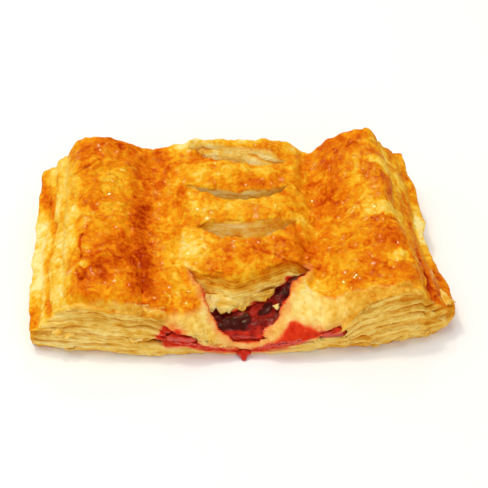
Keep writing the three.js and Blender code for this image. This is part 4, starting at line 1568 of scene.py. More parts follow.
    def mark(self, thing: Thing, ax: Array, ay: Array) -> None:
        """Stores for each point what the finish reads: browning with painted shade, wash, cut, leaf, the
        depth of the leaves' edges for painted shade, toast and stain.

        Args:
            thing: the dough's object.
            ax: the grid's lengthwise coordinates.
            ay: the grid's coordinates from front to back.
        """
        form = self.form
        x, y, z = places(thing, self.shift).T
        top = self.sample("top", ax, ay, x, y)
        smooth_top = self.sample("smooth_top", ax, ay, x, y)
        below = top - z
        ends, sides = self.faces(x, y, np.clip(z / smooth_top, 0, self.tallest))
        skinned = self.skin.share(ends, sides, z) * smooth(np.maximum(ends, sides), *self.skin.depth)
        bare = self.crust.bare_share(x, y)
        in_slit, on_roof = self.openings(x, y, z)
        on_rim = smooth(below + self.roof_edge_ripple.at(self.grain, x, y, z), *self.roof_edge)
        cut = mix(smooth(below, *self.cut_edge), on_rim, on_roof) * (1 - self.slit_browned * in_slit)
        cut = np.maximum(cut * (1 - skinned), bare * (1 - skinned))
        u, v = form.plan_share(x, y)
        from_edge = np.minimum((1 - np.abs(u)) * form.length / 2, (1 - np.abs(v)) * form.depth / 2)
        level_ground = smooth(from_edge, *self.level_ground)
        for slit in form.slits:
            off = slit.outside(x, y, z - form.mid_height)
            from_edge = np.minimum(from_edge, np.maximum(off, 0) + self.slit_rim)
        number = self.layers.number(x, y, z, smooth_top)
        relief = self.layers.relief(x, y, number)
        on_top = 1 - smooth(below, 0.35, 1.2)
        end_level, on_end = self.crust.end_browning(x, y, z)
        level = mix(self.crust.browning_and_shade(x, y, from_edge), end_level, on_end)
        # On the ends, hollows and folds of the rough skin are painted browner: painted shade.
        level = level + self.skin_hollow_shade * self.skin.relief(x, y, z) * on_end
        # In the slits, leaves that stand back are painted browner: painted shade in their recesses.
        slit_level = self.slit_brown + self.slit_recess_shade * relief
        level = mix(level, slit_level, in_slit * smooth(below, *self.slit_brown_depth))
        level = level + self.roof_rim_brown * on_roof * bell((below - 0.8) / 0.9)
        give(thing, "browning_and_shade", level)
        thin_wash = self.thin_wash * level_ground * (1 - on_end) * (1 - bare)
        wash = np.maximum(self.crust.gloss(x, y), thin_wash)
        give(thing, "wash", wash * (1 - smooth(below, *self.wash_depth) * (1 - skinned)))
        give(thing, "cut", cut)
        give(thing, "leaf", number)
        # Depth of each leaf's edge, which the finish paints darker: painted shade in the gaps between layers.
        give(thing, "recess_shade", relief * (1 - on_top))
        bare_tone = self.crust.bare_toast.at(x + self.shift[0])
        bare_tone = bare_tone + ripples_at(self.bare_ripples, self.grain, x, y, z)
        toast = self.toast(x, y, z, number)
        roof_tone = mix(*self.roof_tone, smooth(below, *self.roof_tone_depth))
        roof_tone = roof_tone + self.roof_streaks.at(self.grain, x, y, number)
        toast = mix(toast, roof_tone, on_roof) + 0.04 * in_slit
        give(thing, "toast", mix(toast, bare_tone, np.maximum(on_top, 0.5) * bare))
        give(thing, "stain", self.stain(x, y, z))

    def openings(self, x: Array, y: Array, z: Array) -> Pair:
        """Which points belong to the slits' walls and which to the roof of the mouth.

        Args:
            x: places along X.
            y: places along Y.
            z: heights.

        Returns:
            Two shares from 0 to 1.
        """
        form = self.form
        in_slit = np.zeros(x.shape)
        for slit in form.slits:
            inside = 1 - smooth(slit.outside(x, y, z - form.mid_height), 0.6, 1.6)
            inside = inside * (x > slit.start) * (x < slit.end) * (z > form.slit_floor - 1)
            in_slit = np.maximum(in_slit, inside)
        mouth = form.mouth
        off = y - mouth.edge(x, mouth.roof) - mouth.slant(z)
        on_roof = smooth(off, -2.4, -1.2) * (1 - smooth(off, 2.0, 3.2))
        on_roof = on_roof * (x > mouth.left) * (x < mouth.right) * (z > mouth.floor + 1)
        return in_slit, on_roof

    def toast(self, x: Array, y: Array, z: Array, number: Array) -> Array:
        """How brown the layers are where they show, from 0 for pale to 1 for brown, with painted shade under
        the crust's front-left edge and along a crease.

        Args:
            x: places along X.
            y: places along Y.
            z: heights.
            number: leaf number with its fraction.

        Returns:
            One value for each point.
        """
        g = self.grain
        level = self.pale + self.pale_leaf.on_leaf(g, x, y, np.floor(number))
        level = level + ripples_at(self.pale_ripples, g, x, y, z)
        mx, my = x + self.shift[0], y + self.shift[1]
        # Browner places on the sides, some of them painted shade under the crust's edge and in a crease.
        level = level + sum(place.felt(mx, my, z) for place in self.toasted_and_shaded)
        level = level + 0.25 * smooth(y, 44, 47) - 0.08 * (mx < -30) * (1 - smooth(z, 8, 14))
        under = self.underside_toast + self.underside_ripple.at(g, x, y)
        return np.where(z < self.underside, under, level)

    def stain(self, x: Array, y: Array, z: Array) -> Array:
        """How red the dough is with juice, from 0 to 1.

        Args:
            x: places along X.
            y: places along Y.
            z: heights.

        Returns:
            One value for each point.
        """
        ragged = ripples_at(self.stain_edge, self.grain, x, y, z)
        mx = x + self.shift[0]
        at_front = 1 - smooth(y - self.form.front(x), *self.stain_zone)
        low, high = self.smear_low.at(mx), self.smear_high.at(mx)
        depth = np.minimum(z - low, high - 0.9 - z) + 0.6 * ragged
        at_front = at_front * (high - low > 0.1)
        band = smooth(depth, *self.smear_fade) * at_front * mix(0.62, 1.0, smooth(z, *self.smear_foot))
        reach = mix(3.0, 1.2, bell((mx - 6) / 12))
        blush = self.blush_red * smooth(depth / reach, *self.blush_fade) * at_front * (z > low - 0.6)
        mouth = self.form.mouth
        line = np.maximum(mouth.edge(x, mouth.lip) + mouth.slant(z), self.bed.front(x) - 0.4)
        lip = np.abs(y - line)
        within = smooth(x, mouth.left - 1, mouth.left + 3) * (1 - smooth(x, mouth.right - 1, mouth.right + 1))
        rim = self.rim_red * (1 - smooth(lip + 0.3 * ragged, *self.rim_fade)) * within * (z > 2)
        bed = self.bed.height(x, y)
        touch = 1 - smooth(z - bed + 0.7 * ragged, *self.touch_fade)
        touch = touch * within * smooth(y - line, -0.1, 0.4)
        past_roof = y - mouth.edge(x, mouth.roof) - mouth.slant(z)
        touch = touch * (1 - smooth(past_roof, 2.0, 3.0)) * smooth(x, *self.touch_left)
        pink = self.pink_red * (1 - smooth(lip + 1.2 * ragged, *self.pink_fade)) * within * (z > 2)
        return np.max([band, blush, rim, touch, pink], axis=0)

    def dress(self, thing: Thing) -> None:
        """Gives the dough its finish and its place in the frame."""
        thing.data.materials.append(self.finish.material())
        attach(thing, "root")
        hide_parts(Node.PASTRY.value)


def linear(*colour: int) -> tuple[float, float, float, float]:
    """A colour given as 0 to 255 on a screen, as Blender mixes it."""
    parts = [c / 255 for c in colour]
    return tuple(c / 12.92 if c <= 0.04045 else ((c + 0.055) / 1.055) ** 2.4 for c in parts) + (1.0,)


class Shader:
    """A small helper that builds one node material."""

    def __init__(self, name: str) -> None:
        """Starts the material.

        Args:
            name: name of the material.
        """
        self.made = bpy.data.materials.new(name)
        self.made.use_nodes = True
        self.tree = self.made.node_tree
        self.tree.nodes.clear()
        self.out = self.tree.nodes.new("ShaderNodeOutputMaterial")
        self.skin = self.tree.nodes.new("ShaderNodeBsdfPrincipled")
        self.tree.links.new(self.skin.outputs[0], self.out.inputs[0])
        self.place = self.tree.nodes.new("ShaderNodeTexCoord").outputs["Object"]

    def join(self, source: Socket, target: Socket) -> None:
        """Joins two sockets."""
        self.tree.links.new(source, target)

    def put(self, target: Socket, value: Value) -> None:
        """Joins a socket to another, or sets its value."""
        if isinstance(value, Socket):
            self.join(value, target)
        else:
            target.default_value = value

    def point_value(self, name: str) -> Socket:
        """A number stored on the mesh's points."""
        node = self.tree.nodes.new("ShaderNodeAttribute")
        node.attribute_name = name
        return node.outputs["Fac"]

    def math(self, kind: str, a: Value, b: Value = 0.0, clamp: bool = False) -> Socket:
        """The result of one sum on numbers."""
        node = self.tree.nodes.new("ShaderNodeMath")
        node.operation = kind
        node.use_clamp = clamp
        self.put(node.inputs[0], a)
        self.put(node.inputs[1], b)
        return node.outputs[0]

    def span(self, value: Value, low: float, high: float, to_low: float, to_high: float) -> Socket:
        """A number carried from one range to another, and held inside it."""
        node = self.tree.nodes.new("ShaderNodeMapRange")
        node.clamp = True
        for k, v in enumerate((value, low, high, to_low, to_high)):
            self.put(node.inputs[k], v)
        return node.outputs[0]

    def noise(self, size_mm: float, detail: float = 2.0, stretch: Place = (1, 1, 1),
              warp: float = 0.0) -> Socket:
        """Noise with lumps of a size in millimetres."""
        scaled = self.tree.nodes.new("ShaderNodeMapping")
        scaled.inputs["Scale"].default_value = tuple(1 / (size_mm * MM * s) for s in stretch)
        self.join(self.place, scaled.inputs["Vector"])
        node = self.tree.nodes.new("ShaderNodeTexNoise")
        node.inputs["Scale"].default_value = 1.0
        node.inputs["Detail"].default_value = detail
        node.inputs["Distortion"].default_value = warp
        self.join(scaled.outputs[0], node.inputs["Vector"])
        return node.outputs["Fac"]

    def ramp(self, value: Value, stops: Stops) -> Socket:
        """A colour that depends on a number."""
        node = self.tree.nodes.new("ShaderNodeValToRGB")
        bar = node.color_ramp
        while len(bar.elements) < len(stops):
            bar.elements.new(0.5)
        for element, (at, colour) in zip(bar.elements, stops):
            element.position = at
            element.color = linear(*colour)
        self.put(node.inputs[0], value)
        return node.outputs[0]

    def blend(self, share: Value, low: Value, high: Value) -> Socket:
        """A mix of two colours."""
        node = self.tree.nodes.new("ShaderNodeMix")
        node.data_type = "RGBA"
        self.put(node.inputs[0], share)
        self.put(node.inputs[6], low)
        self.put(node.inputs[7], high)
        return node.outputs[2]

    def bump(self, height: Socket, distance_mm: float, strength: float,
             under: Socket | None = None) -> Socket:
        """A bump from a height between 0 and 1."""
        node = self.tree.nodes.new("ShaderNodeBump")
        node.inputs["Distance"].default_value = distance_mm * MM
        node.inputs["Strength"].default_value = strength
        self.join(height, node.inputs["Height"])
        if under is not None:
            self.join(under, node.inputs["Normal"])
        return node.outputs[0]

    def set(self, name: str, value: Value) -> None:
        """Sets or joins one socket of the skin shader."""
        self.put(self.skin.inputs[name], value)


@dataclass(frozen=True)
class DoughFinish:
    """Baked dough: egg-washed crust on top, dry pale layers where it is cut, red where juice ran, with
    painted shade in the layers' gaps, hollows and creases.
    """

    crust: Stops = (
        (0.0, (250, 228, 150)),
        (0.15, (248, 208, 96)),
        (0.3, (244, 188, 50)),
        (0.42, (239, 166, 26)),
        (0.55, (232, 140, 14)),
        (0.68, (224, 116, 8)),
        (0.82, (208, 86, 4)),
        (1.0, (168, 44, 2)),
    )
    layers: Stops = (
        (0.0, (254, 232, 154)),
        (0.3, (244, 206, 106)),
        (0.55, (230, 172, 58)),
        (0.8, (214, 132, 22)),
        (1.0, (180, 84, 8)),
    )
    juice: Stops = (
        (0.0, (250, 190, 126)),
        (0.3, (242, 122, 66)),
        (0.6, (230, 62, 28)),
        (1.0, (212, 42, 16)),
    )

    def material(self) -> bpy.types.Material:
        """Builds the material.

        Returns:
            The finish of the dough.
        """
        s = Shader("baked_dough")
        brown = s.point_value("browning_and_shade")
        soft = s.noise(3.8, 1.5, warp=0.8)
        creased = s.math("ABSOLUTE", s.math("SUBTRACT", s.noise(4.0, 1.5, warp=1.2), 0.5))
        patchy = s.span(s.noise(9.0, 1.0), 0.42, 0.6, 0.15, 1.0)
        cut = s.point_value("cut")
        patchy = s.math("MULTIPLY", patchy, s.math("SUBTRACT", 1.0, cut, clamp=True))
        wrinkle = s.math("MULTIPLY", s.span(creased, 0.0, 0.12, 1.0, 0.0), patchy)
        level = s.math("ADD", brown, s.span(soft, 0.3, 0.7, -0.15, 0.15))
        # Browner in the wrinkles' valleys: painted shade in the creases.
        level = s.math("ADD", level, s.span(wrinkle, 0.0, 1.0, -0.02, 0.06))
        level = s.math("ADD", level, s.span(s.noise(1.2, 1.5), 0.3, 0.7, -0.085, 0.085), clamp=True)
        crust = s.ramp(level, self.crust)
        leaf = s.point_value("leaf")
        recess_shade = s.point_value("recess_shade")
        leaf_gap_shade = self.leaf_gap_shade(s, leaf)
        dry = s.math("SUBTRACT", s.noise(3.5, 3.0), 0.5)
        # Leaf edges that lie deeper are painted browner on top of the layers' own toast: painted shade in the
        # gaps.
        toast = s.math("ADD", s.point_value("toast"), s.span(recess_shade, -0.6, 1.6, -0.12, 0.3))
        tone = s.math("ADD", toast, s.math("MULTIPLY", dry, 0.4))
        tone = s.math("ADD", tone, s.span(s.noise(1.3, 1.0, (1.8, 1.8, 0.7)), 0.3, 0.7, -0.07, 0.07))
        # Darker lines between leaves: painted shade in the gaps.
        tone = s.math("ADD", tone, s.math("MULTIPLY", leaf_gap_shade, 0.16), clamp=True)
        layers = s.ramp(tone, self.layers)
        colour = s.blend(cut, crust, layers)
        stain = s.point_value("stain")
        thick = s.span(s.noise(2.2, 3.0), 0.3, 0.7, 0.55, 1.05)
        red = s.ramp(s.math("MULTIPLY", stain, thick), self.juice)
        colour = s.blend(s.span(stain, 0.02, 0.6, 0.0, 1.0), colour, red)
        s.set("Base Color", colour)
        rough = s.span(s.noise(1.4, 2.0), 0.3, 0.7, 0.42, 0.66)
        dry_rough = s.math("ADD", rough, s.math("MULTIPLY", cut, 0.28), clamp=True)
        s.set("Roughness", s.math("SUBTRACT", dry_rough, s.math("MULTIPLY", stain, 0.3), clamp=True))
        s.set("Specular IOR Level", 0.03)
        s.set("Specular Tint", linear(255, 214, 150))
        patches = s.span(s.noise(1.6, 1.0), 0.5, 0.58, 0.0, 1.0)
        washed = s.math("MULTIPLY", patches, s.point_value("wash"))
        s.set("Coat Weight", s.math("MAXIMUM", washed, s.math("MULTIPLY", stain, 0.8), clamp=True))
        s.set("Coat Roughness", 0.07)
        s.set("Coat IOR", 1.9)
        coarse = s.bump(soft, 0.6, 0.8)
        creases = s.bump(s.math("MULTIPLY", wrinkle, -1.0), 0.16, 0.9, coarse)
        fine = s.bump(s.noise(0.9, 2.0), 0.32, 1.0, creases)
        s.set("Normal", fine)
        s.set("Coat Normal", coarse)
        return s.made

    def leaf_gap_shade(self, s: Shader, leaf: Socket) -> Socket:
        """Painted shade: dark lines in the gaps between leaves, as a number from 0 to 1."""
        part = s.math("FRACT", leaf)
        off = s.math("ABSOLUTE", s.math("SUBTRACT", part, 0.5))
        return s.span(off, 0.28, 0.5, 0.0, 1.0)


@dataclass(frozen=True)
class FruitFinish:
    """Cooked fruit in its own jelly, wet and nearly black where it is thick."""

    tones: Stops = ((0.0, (222, 54, 22)), (0.42, (166, 26, 14)), (0.8, (118, 18, 12)), (1.0, (74, 18, 12)))

    def material(self) -> bpy.types.Material:
        """Builds the material.

        Returns:
            The finish of the fruit.
        """
        s = Shader("cooked_fruit")
        strands = s.math("SUBTRACT", s.noise(1.5, 3.0, (1.8, 0.8, 1.0), warp=0.8), 0.5)
        tone = s.math("ADD", s.point_value("ripe"), s.math("MULTIPLY", strands, 0.9), clamp=True)
        s.set("Base Color", s.ramp(tone, self.tones))
        s.set("Roughness", s.span(s.noise(1.0, 2.0), 0.3, 0.7, 0.3, 0.5))
        s.set("Specular IOR Level", 0.2)
        s.set("Coat Weight", 1.0)
        s.set("Coat Roughness", 0.05)
        bumps = s.bump(s.noise(1.7, 2.0, warp=0.6), 0.8, 1.0)
        s.set("Normal", bumps)
        s.set("Coat Normal", bumps)
        return s.made


@dataclass(frozen=True)
class JuiceFinish:
    """A thin run of clear red juice."""

    tones: Stops = ((0.3, (196, 36, 20)), (0.75, (212, 48, 26)))

    def material(self) -> bpy.types.Material:
        """Builds the material.

        Returns:
            The finish of the juice.
        """
        s = Shader("red_juice")
        s.set("Base Color", s.ramp(s.noise(1.2, 2.0), self.tones))
        s.set("Roughness", s.span(s.noise(0.8, 2.0), 0.3, 0.7, 0.1, 0.22))
        s.set("Normal", s.bump(s.noise(0.9, 2.0), 0.15, 0.35))
        return s.made


@dataclass(frozen=True)
class FloorFinish:
    """A plain pale surface."""

    colour: tuple[float, float, float, float] = (0.96, 0.96, 0.96, 1.0)

    def material(self) -> bpy.types.Material:
        """Builds the material.

        Returns:
            The finish of the floor.
        """
        s = Shader("pale_floor")
        s.set("Base Color", self.colour)
        s.set("Roughness", 0.9)
        s.set("Specular IOR Level", 0.1)
        return s.made


@dataclass
class Filling:
    """The bed of fruit between the sheets."""

    form: BedForm
    grain: Grain
    shift: Array
    finish: FruitFinish
    pieces: tuple[Spot, ...] = (
        Spot(-3.2, -38.0, 6.4, 3.3, 1.0, turn=4),
        Spot(-8.6, -34.6, 2.0, 1.8, 0.6),
        Spot(8.0, -32.4, 3.6, 1.6, 0.8, turn=35),
        Spot(15.6, -27.2, 2.6, 1.6, 0.6, turn=50),
        Spot(19, -25, 2.0, 1.6, 0.8, turn=50),
    )
    room: Block = Block((-44.0, -49.5, 4.4), (44.0, 38.0, 17.5), (0.4, 0.4, 0.25))
    most_triangles: int = 110_000
    heap: float = 1.5
    heap_inset: float = 2
    lumps: Ripples = (Ripple(0.8, 3.0, 3.0, 3.0), Ripple(0.6, 1.5, 1.5, 1.5))
    piece_edge: Ripples = (lump(0.22, 2.4, 3.5), lump(0.12, 1, 6.5))
    ripe: float = 0.62
    ripeness: Ripple = Ripple(0.3, 4, 4, 4)
    ripe_piece: float = 1.15
    bright_rim: float = 0.6
    front_tone: Ripple = Ripple(0.35, 2, 2, 1.2)

    def build(self) -> Thing:
        """Makes the fruit's mesh.

        Returns:
            The fruit's object.
        """
        form = self.form
        ax, ay, az = self.room.axes()
        x, y = np.meshgrid(ax.astype(float), ay.astype(float), indexing="ij")
        top = form.height(x, y)
        low = form.under(x, y)
        sides = form.outside(x, y, form.front(x))
        values = np.empty((len(ax), len(ay), len(az)), np.float32)
        skins = self.skins(x, y)
        mouth = form.strip.mouth
        over = (x > mouth.left + self.heap_inset) & (x < mouth.right - self.heap_inset)
        for k, z in enumerate(az):
            from_lip = y - mouth.edge(x, mouth.lip) - mouth.slant(z)
            heap = self.heap * over * smooth(from_lip, 0.0, 1.2) * (1 - smooth(from_lip, 2.5, 7.0))
            lumps = 0.35 - 0.8 * skins
            for ripple in self.lumps:
                lumps = lumps + ripple.at(self.grain, x, y, z)
            values[:, :, k] = np.maximum(np.maximum(sides + 0.2, low - z), z - top + 0.1 + (lumps - heap))
        points, faces = skin_of(values, self.room)
        thing = mesh_object("fruit_filling", points, faces, self.shift)
        thin_out(thing, self.most_triangles)
        self.mark(thing)
        return thing

    def skins(self, x: Array, y: Array) -> Array:
        """Where a dark piece of cherry skin lies on the fruit, from 0 to 1."""
        share = np.zeros(np.shape(x))
        ragged = ripples_at(self.piece_edge, self.grain, x, y)
        for piece in self.pieces:
            r = np.hypot(*piece.shares(x + self.shift[0], y + self.shift[1])) + ragged
            share = np.maximum(share, piece.amount * (1 - smooth(r, 0.85, 1.0)))
        return share

    def mark(self, thing: Thing) -> None:
        """Stores how dark the fruit is for each point."""
        x, y, z = places(thing, self.shift).T
        skins = self.skins(x, y)
        ripe = mix(self.ripe + self.ripeness.at(self.grain, x, y, z), self.ripe_piece, skins)
        mouth = self.form.strip.mouth
        from_lip = y - mouth.edge(x, mouth.lip) - mouth.slant(z)
        ripe = ripe - self.bright_rim * (1 - smooth(from_lip, 0.3, 1.6)) * (1 - skins)
        at_front = y < self.form.front(x) + 1.4
        give(thing, "ripe", np.where(at_front, 0.2 + self.front_tone.at(self.grain, x, y, z), ripe))

    def dress(self, thing: Thing) -> None:
        """Gives the fruit its finish and its place in the frame."""
        thing.data.materials.append(self.finish.material())
        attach(thing, "root")
        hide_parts(Node.FILLING.value)


@dataclass(frozen=True)
class Flake:
    """A thin flake of dough: its root, its size and which way its tip points, in degrees."""

    x: float
    y: float
    z: float
    length: float
    width: float
    turn: float
    tilt: float
    toast: float = 0.2
    curl: float = 0.25
    thick: float = 0.45


@dataclass
class Flakes:
    """Flakes and crumbs that stand out of the layers, as one piece."""

    strip: StripForm
    grain: Grain
    shift: Array
    large: tuple[Flake, ...] = (
        Flake(-35.6, -36.5, 17.4, 5.6, 5.2, -92, 62, 0.5, 0.1, 0.8),
        Flake(-30.4, -36.9, 16.2, 3.4, 5.0, -92, 44, 0.5, 0.2, 0.6),
        Flake(-6.2, -31.0, 15.0, 6.4, 13.0, -93, 42, 0.4, 0.02, 1.3),
        Flake(-10.6, -30.8, 14.2, 5.8, 6.0, -116, 34, 0.28, -0.05, 1.1),
        Flake(-1.6, -31.6, 13.4, 4.6, 8.0, -78, 46, 0.46, 0.1, 0.9),
        Flake(6.4, -30.4, 14.6, 3.4, 9.0, -72, 54, 0.56, 0.05, 0.7),
        Flake(66.8, -33, 10.6, 7, 8, -40, 2, 0.5, 0.1, 0.9),
        Flake(64.6, -35.5, 7, 7, 8, -52, 4, 0.4, 0.1, 0.9),
        Flake(59.6, -39, 3, 6, 8, -55, 0, 0.45, 0.1, 0.9),
        Flake(-66, -33, 5.6, 6, 8, -130, -6, 0.45, 0.1, 0.9),
        Flake(-57, -36.5, 3.4, 5.6, 7, -100, 6, 0.4, 0.1, 0.9),
        Flake(-44, -37.5, 11.4, 3.6, 9, -90, 4, 0.2, 0.1, 0.7),
        Flake(-58, -34.6, 17.0, 3.2, 9, -92, 16, 0.3, 0.1, 0.6),
        Flake(46, -40, 8.6, 4.4, 10, -85, 6, 0.25, 0.1, 0.7),
        Flake(10.4, -34.6, 10.4, 2.0, 2.2, 30, -25, 0.1, 0.0, 1.4),
    )
    seed: int = 41
    small: int = 90
    off_floor: float = 0.1
    along_steps: int = 18
    across_steps: int = 14

    def scattered(self) -> list[Flake]:
        """Small flakes, drawn at random round the sides."""
        draw = np.random.default_rng(self.seed)
        made = []
        for _ in range(self.small):
            side = draw.choice(4, p=(0.42, 0.16, 0.22, 0.2))
            share = draw.uniform(0.08, 0.86)
            if side in (0, 3):
                x = draw.uniform(-64, 64)
                if side == 0 and -34 < x < 36:
                    continue
                front = side == 0
                edge = self.strip.front(x) if front else self.strip.back(x)
                slope = self.strip.front_slope if front else self.strip.back_slope
                inset = float(self.strip.face_inset(np.array(share), slope, 0.0)) + 1.4
                y = float(edge) + (inset if front else -inset)
                turn = (-90 if front else 90) + draw.uniform(-25, 25)
            else:
                y = draw.uniform(-34, 40)
                right = side == 2
                edge = float(self.strip.right(y) if right else self.strip.left(y))
                inset = float(self.strip.end_inset(np.array(share), right, np.array(y))) + 1.4
                x = edge - inset if right else edge + inset
                turn = (0 if right else 180) + draw.uniform(-25, 25)
                share = share * 0.3
            top = 17.5 if side < 3 else 21.0
            size = draw.uniform(1.8, 3.4)
            made.append(Flake(x, y, share * top, size, size * draw.uniform(1.0, 2.4), turn,
                              draw.uniform(-10, 40), draw.uniform(0.1, 0.55), draw.uniform(-0.1, 0.2),
                              draw.uniform(0.3, 0.5)))
        return made

    def sheet(self, flake: Flake, number: int) -> Pair:
        """The points and faces of one flake.

        Args:
            flake: its place and size.
            number: which flake it is, so that each outline differs.

        Returns:
            Points in millimetres and faces of four point numbers.
        """
        s, t = np.meshgrid(
            np.linspace(0, 1, self.along_steps + 1), np.linspace(-1, 1, self.across_steps + 1), indexing="ij"
        )
        g = self.grain
        ragged = 1 + 0.26 * g.at(t * 1.9 + number, s * 0.4, 3.5) + 0.18 * g.at(t * 5 + number, s, 6.5)
        ragged = ragged + 0.1 * g.at(t * 11 + number, s, 18.5)
        across = t * flake.width / 2 * (1 - 0.35 * s**2)
        across = across * (1 + 0.25 * g.at(s * 2.5 + number, np.sign(t) * 3, 9.5))
        along = s * flake.length * ragged * (1 - 0.35 * t * t * s)
        up = flake.curl * flake.length * s**2 + 0.4 * g.at(s * 2.2 + number, t * 1.8, 12.5)
        rough = min(1 + 0.08 * flake.width, 2.0)
        up = up - 0.16 * flake.width * t * t * s + 0.24 * rough * g.at(s * 7 + number, t * 4, 15.5)
        thick = flake.thick * (1 - 0.55 * s) * (1 - 0.4 * np.abs(t) ** 3)
        upper = np.stack([along, across, up + thick / 2], -1).reshape(-1, 3)
        lower = np.stack([along, across, up - thick / 2], -1).reshape(-1, 3)
        tilt, turn = math.radians(flake.tilt), math.radians(flake.turn)
        c, s = math.cos(tilt), math.sin(tilt)
        lean = np.array([[c, 0, s], [0, 1, 0], [-s, 0, c]])
        c, s = math.cos(turn), math.sin(turn)
        spin = np.array([[c, -s, 0], [s, c, 0], [0, 0, 1]])
        points = np.concatenate([upper, lower]) @ lean.T @ spin.T + (flake.x, flake.y, flake.z)
        points[:, 2] += max(self.off_floor - points[:, 2].min(), 0.0)
        rows, columns = self.along_steps + 1, self.across_steps + 1
        at = np.arange(rows * columns).reshape(rows, columns)
        low = at + rows * columns
        top = np.stack([at[:-1, :-1], at[1:, :-1], at[1:, 1:], at[:-1, 1:]], -1).reshape(-1, 4)
        foot = np.stack([low[:-1, :-1], low[:-1, 1:], low[1:, 1:], low[1:, :-1]], -1).reshape(-1, 4)
        rim = np.concatenate([at[:, 0], at[-1, 1:], at[-2::-1, -1], at[0, -2:0:-1]])
        under = rim + rows * columns
        wall = np.stack([rim, under, np.roll(under, -1), np.roll(rim, -1)], -1)
        return points, np.concatenate([top, foot, wall])

    def build(self) -> Thing:
        """Makes all the flakes as one mesh.

        Returns:
            The flakes' object.
        """
        points, faces, toast, count = [], [], [], 0
        for number, flake in enumerate(list(self.large) + self.scattered()):
            p, f = self.sheet(flake, number)
            points.append(p)
            faces.append(f + count)
            toast.append(flake.toast + 0.2 * self.grain.at(*(p / (2.6, 1.3, 1.3)).T))
            count += len(p)
        thing = mesh_object("flakes", np.concatenate(points), np.concatenate(faces), self.shift)
        ones = np.ones(count)
        give(thing, "cut", ones)
        give(thing, "leaf", 0.5 * ones)
        # Flakes stand out, so they get little of the painted shade of the gaps.
        give(thing, "recess_shade", -0.3 * ones)
        give(thing, "toast", np.concatenate(toast))
        return thing

    def dress(self, thing: Thing, finish: bpy.types.Material) -> None:
        """Gives the flakes the dough's finish and their place in the frame."""
        thing.data.materials.append(finish)
        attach(thing, "root")


@dataclass
class Drip:
    """A run of juice that hangs from the front face and ends on the floor."""

    shift: Array
    grain: Grain
    finish: JuiceFinish
    beads: tuple[tuple[float, float, float, float], ...] = (
        (-3.0, -46.6, 1.7, 0.9),
        (-1.4, -46.5, 2.0, 1.2),
        (0.2, -46.7, 1.8, 0.9),
        (-1.4, -47.4, 1.1, 1.0),
        (-1.5, -48.3, 0.5, 0.7),
    )
    room: Block = Block((-5.2, -51.6, -0.25), (2.0, -44.0, 5.2), (0.2, 0.2, 0.2))
    widened: float = 1.15
    soft: float = 0.245

    def build(self) -> Thing:
        """Makes the drip's mesh from beads that run together.

        Returns:
            The drip's object.
        """
        ax, ay, az = self.room.axes()
        x, y, z = np.meshgrid(ax.astype(float), ay.astype(float), az.astype(float), indexing="ij")
        total = np.zeros(x.shape)
        for bx, by, bz, radius in self.beads:
            off = np.sqrt(((x - bx) / self.widened) ** 2 + (y - by) ** 2 + (z - bz) ** 2) - radius
            total = total + np.exp(-off / self.soft)
        values = -self.soft * np.log(total) + 0.12 * self.grain.at(x, y, z)
        points, faces = skin_of(np.maximum(values, -z), self.room)
        return mesh_object("juice_run", points, faces, self.shift)

    def dress(self, thing: Thing) -> None:
        """Gives the drip its finish and its place in the frame."""
        thing.data.materials.append(self.finish.material())
        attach(thing, "root")
        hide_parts(Node.DROP.value)


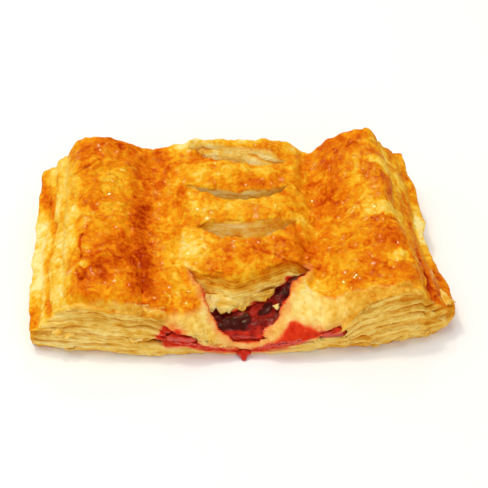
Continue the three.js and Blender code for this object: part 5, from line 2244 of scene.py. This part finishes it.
@dataclass
class Studio:
    """The floor, the soft light and the camera."""

    eye: Place = (-0.0217, -0.3057, 0.2697)
    target: Place = (0.0032, 0.0028, 0.0100)
    lens: float = 80.33
    sensor: float = 36.0
    floor_size: float = 6.0
    small_lamp: float = 0.3
    sky: float = 0.44
    warm: Place = (1.0, 0.94, 0.7)

    def build_floor(self) -> Thing:
        """Lays the floor.

        Returns:
            The floor's object.
        """
        half = self.floor_size / 2
        points = np.array([(-half, -half, 0), (half, -half, 0), (half, half, 0), (-half, half, 0)]) / MM
        thing = mesh_object("floor", points, np.array([[0, 1, 2, 3]]), np.zeros(3))
        thing.data.materials.append(FloorFinish().material())
        return thing

    def light(self, name: str, place: Place, size: float, watts: float) -> None:
        """Hangs one soft light that looks at the strip.

        Args:
            name: name of the light.
            place: where it hangs, in metres.
            size: side of its square, in metres.
            watts: its power.
        """
        lamp = bpy.data.lights.new(name, "AREA")
        lamp.shape = "SQUARE"
        lamp.size = size
        lamp.energy = watts
        thing = bpy.data.objects.new(name, lamp)
        thing.location = place
        thing.rotation_euler = (Vector((0, 0, 0.01)) - Vector(place)).to_track_quat("-Z", "Y").to_euler()
        thing.visible_glossy = size < self.small_lamp
        if size < self.small_lamp:
            lamp.color = self.warm
        bpy.context.scene.collection.objects.link(thing)

    def build_lights(self) -> None:
        """Hangs the lights and sets the world behind them."""
        self.light("overhead", (-0.25, 0.2, 1.1), 0.8, 5.2)
        self.light("front_fill", (0.2, -1.1, 0.55), 1.0, 4.6)
        self.light("small_key", (-0.3, 0.35, 0.95), 0.09, 2.0)
        self.light("glint_back", (0.12, 0.8, 0.7), 0.08, 1.0)
        self.light("glint_left", (-0.7, 0.25, 0.75), 0.08, 0.6)
        world = bpy.data.worlds.new("studio")
        world.use_nodes = True
        sky = world.node_tree.nodes["Background"]
        sky.inputs["Color"].default_value = (1, 1, 1, 1)
        sky.inputs["Strength"].default_value = self.sky
        world.cycles_visibility.glossy = False
        bpy.context.scene.world = world
        bpy.context.scene.view_settings.view_transform = "Standard"

    def build_camera(self) -> None:
        """Sets the camera at the photograph's view angle."""
        data = bpy.data.cameras.new("camera")
        data.sensor_fit = "HORIZONTAL"
        data.sensor_width = self.sensor
        data.lens = self.lens
        data.clip_start = 0.01
        data.clip_end = 20
        thing = bpy.data.objects.new("camera", data)
        thing.location = self.eye
        look = Vector(self.target) - Vector(self.eye)
        thing.rotation_euler = look.to_track_quat("-Z", "Y").to_euler()
        bpy.context.scene.collection.objects.link(thing)
        bpy.context.scene.camera = thing


def shift_of_frame(form: BedForm) -> Array:
    """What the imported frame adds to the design's coordinates, in millimetres.

    Args:
        form: the fruit bed, whose left and back edges are known in both.

    Returns:
        The shift in x, y and z.
    """
    low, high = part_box(Node.FILLING.value)
    return np.array([low.x / MM - form.left, high.y / MM - form.back, 0.0])


def main() -> None:
    """Builds the strip, the studio and the camera, and reports each piece."""
    logging.basicConfig(level=logging.INFO, format="%(message)s")
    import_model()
    form = StripForm()
    bed = BedForm(form)
    shift = shift_of_frame(bed)
    LOG.info("shift of the frame: %s", np.round(shift, 3))
    studio = Studio()
    studio.build_camera()
    grain = Grain(5)
    layers = Layers(grain, form.fold_at)
    skin = EndSkin(grain, shift)
    dough = Dough(form, bed, Crust(grain, shift), layers, skin, grain, shift, DoughFinish())
    piece = dough.build()
    dough.dress(piece)
    LOG.info("dough: %d faces", len(piece.data.polygons))
    flakes = Flakes(form, grain, shift)
    loose = flakes.build()
    flakes.dress(loose, piece.data.materials[0])
    LOG.info("flakes: %d faces", len(loose.data.polygons))
    filling = Filling(bed, Grain(23), shift, FruitFinish())
    piece = filling.build()
    filling.dress(piece)
    LOG.info("fruit filling: %d faces", len(piece.data.polygons))
    drip = Drip(shift, grain, JuiceFinish())
    piece = drip.build()
    drip.dress(piece)
    LOG.info("juice run: %d faces", len(piece.data.polygons))
    studio.build_floor()
    studio.build_lights()


if __name__ == "__main__":
    main()
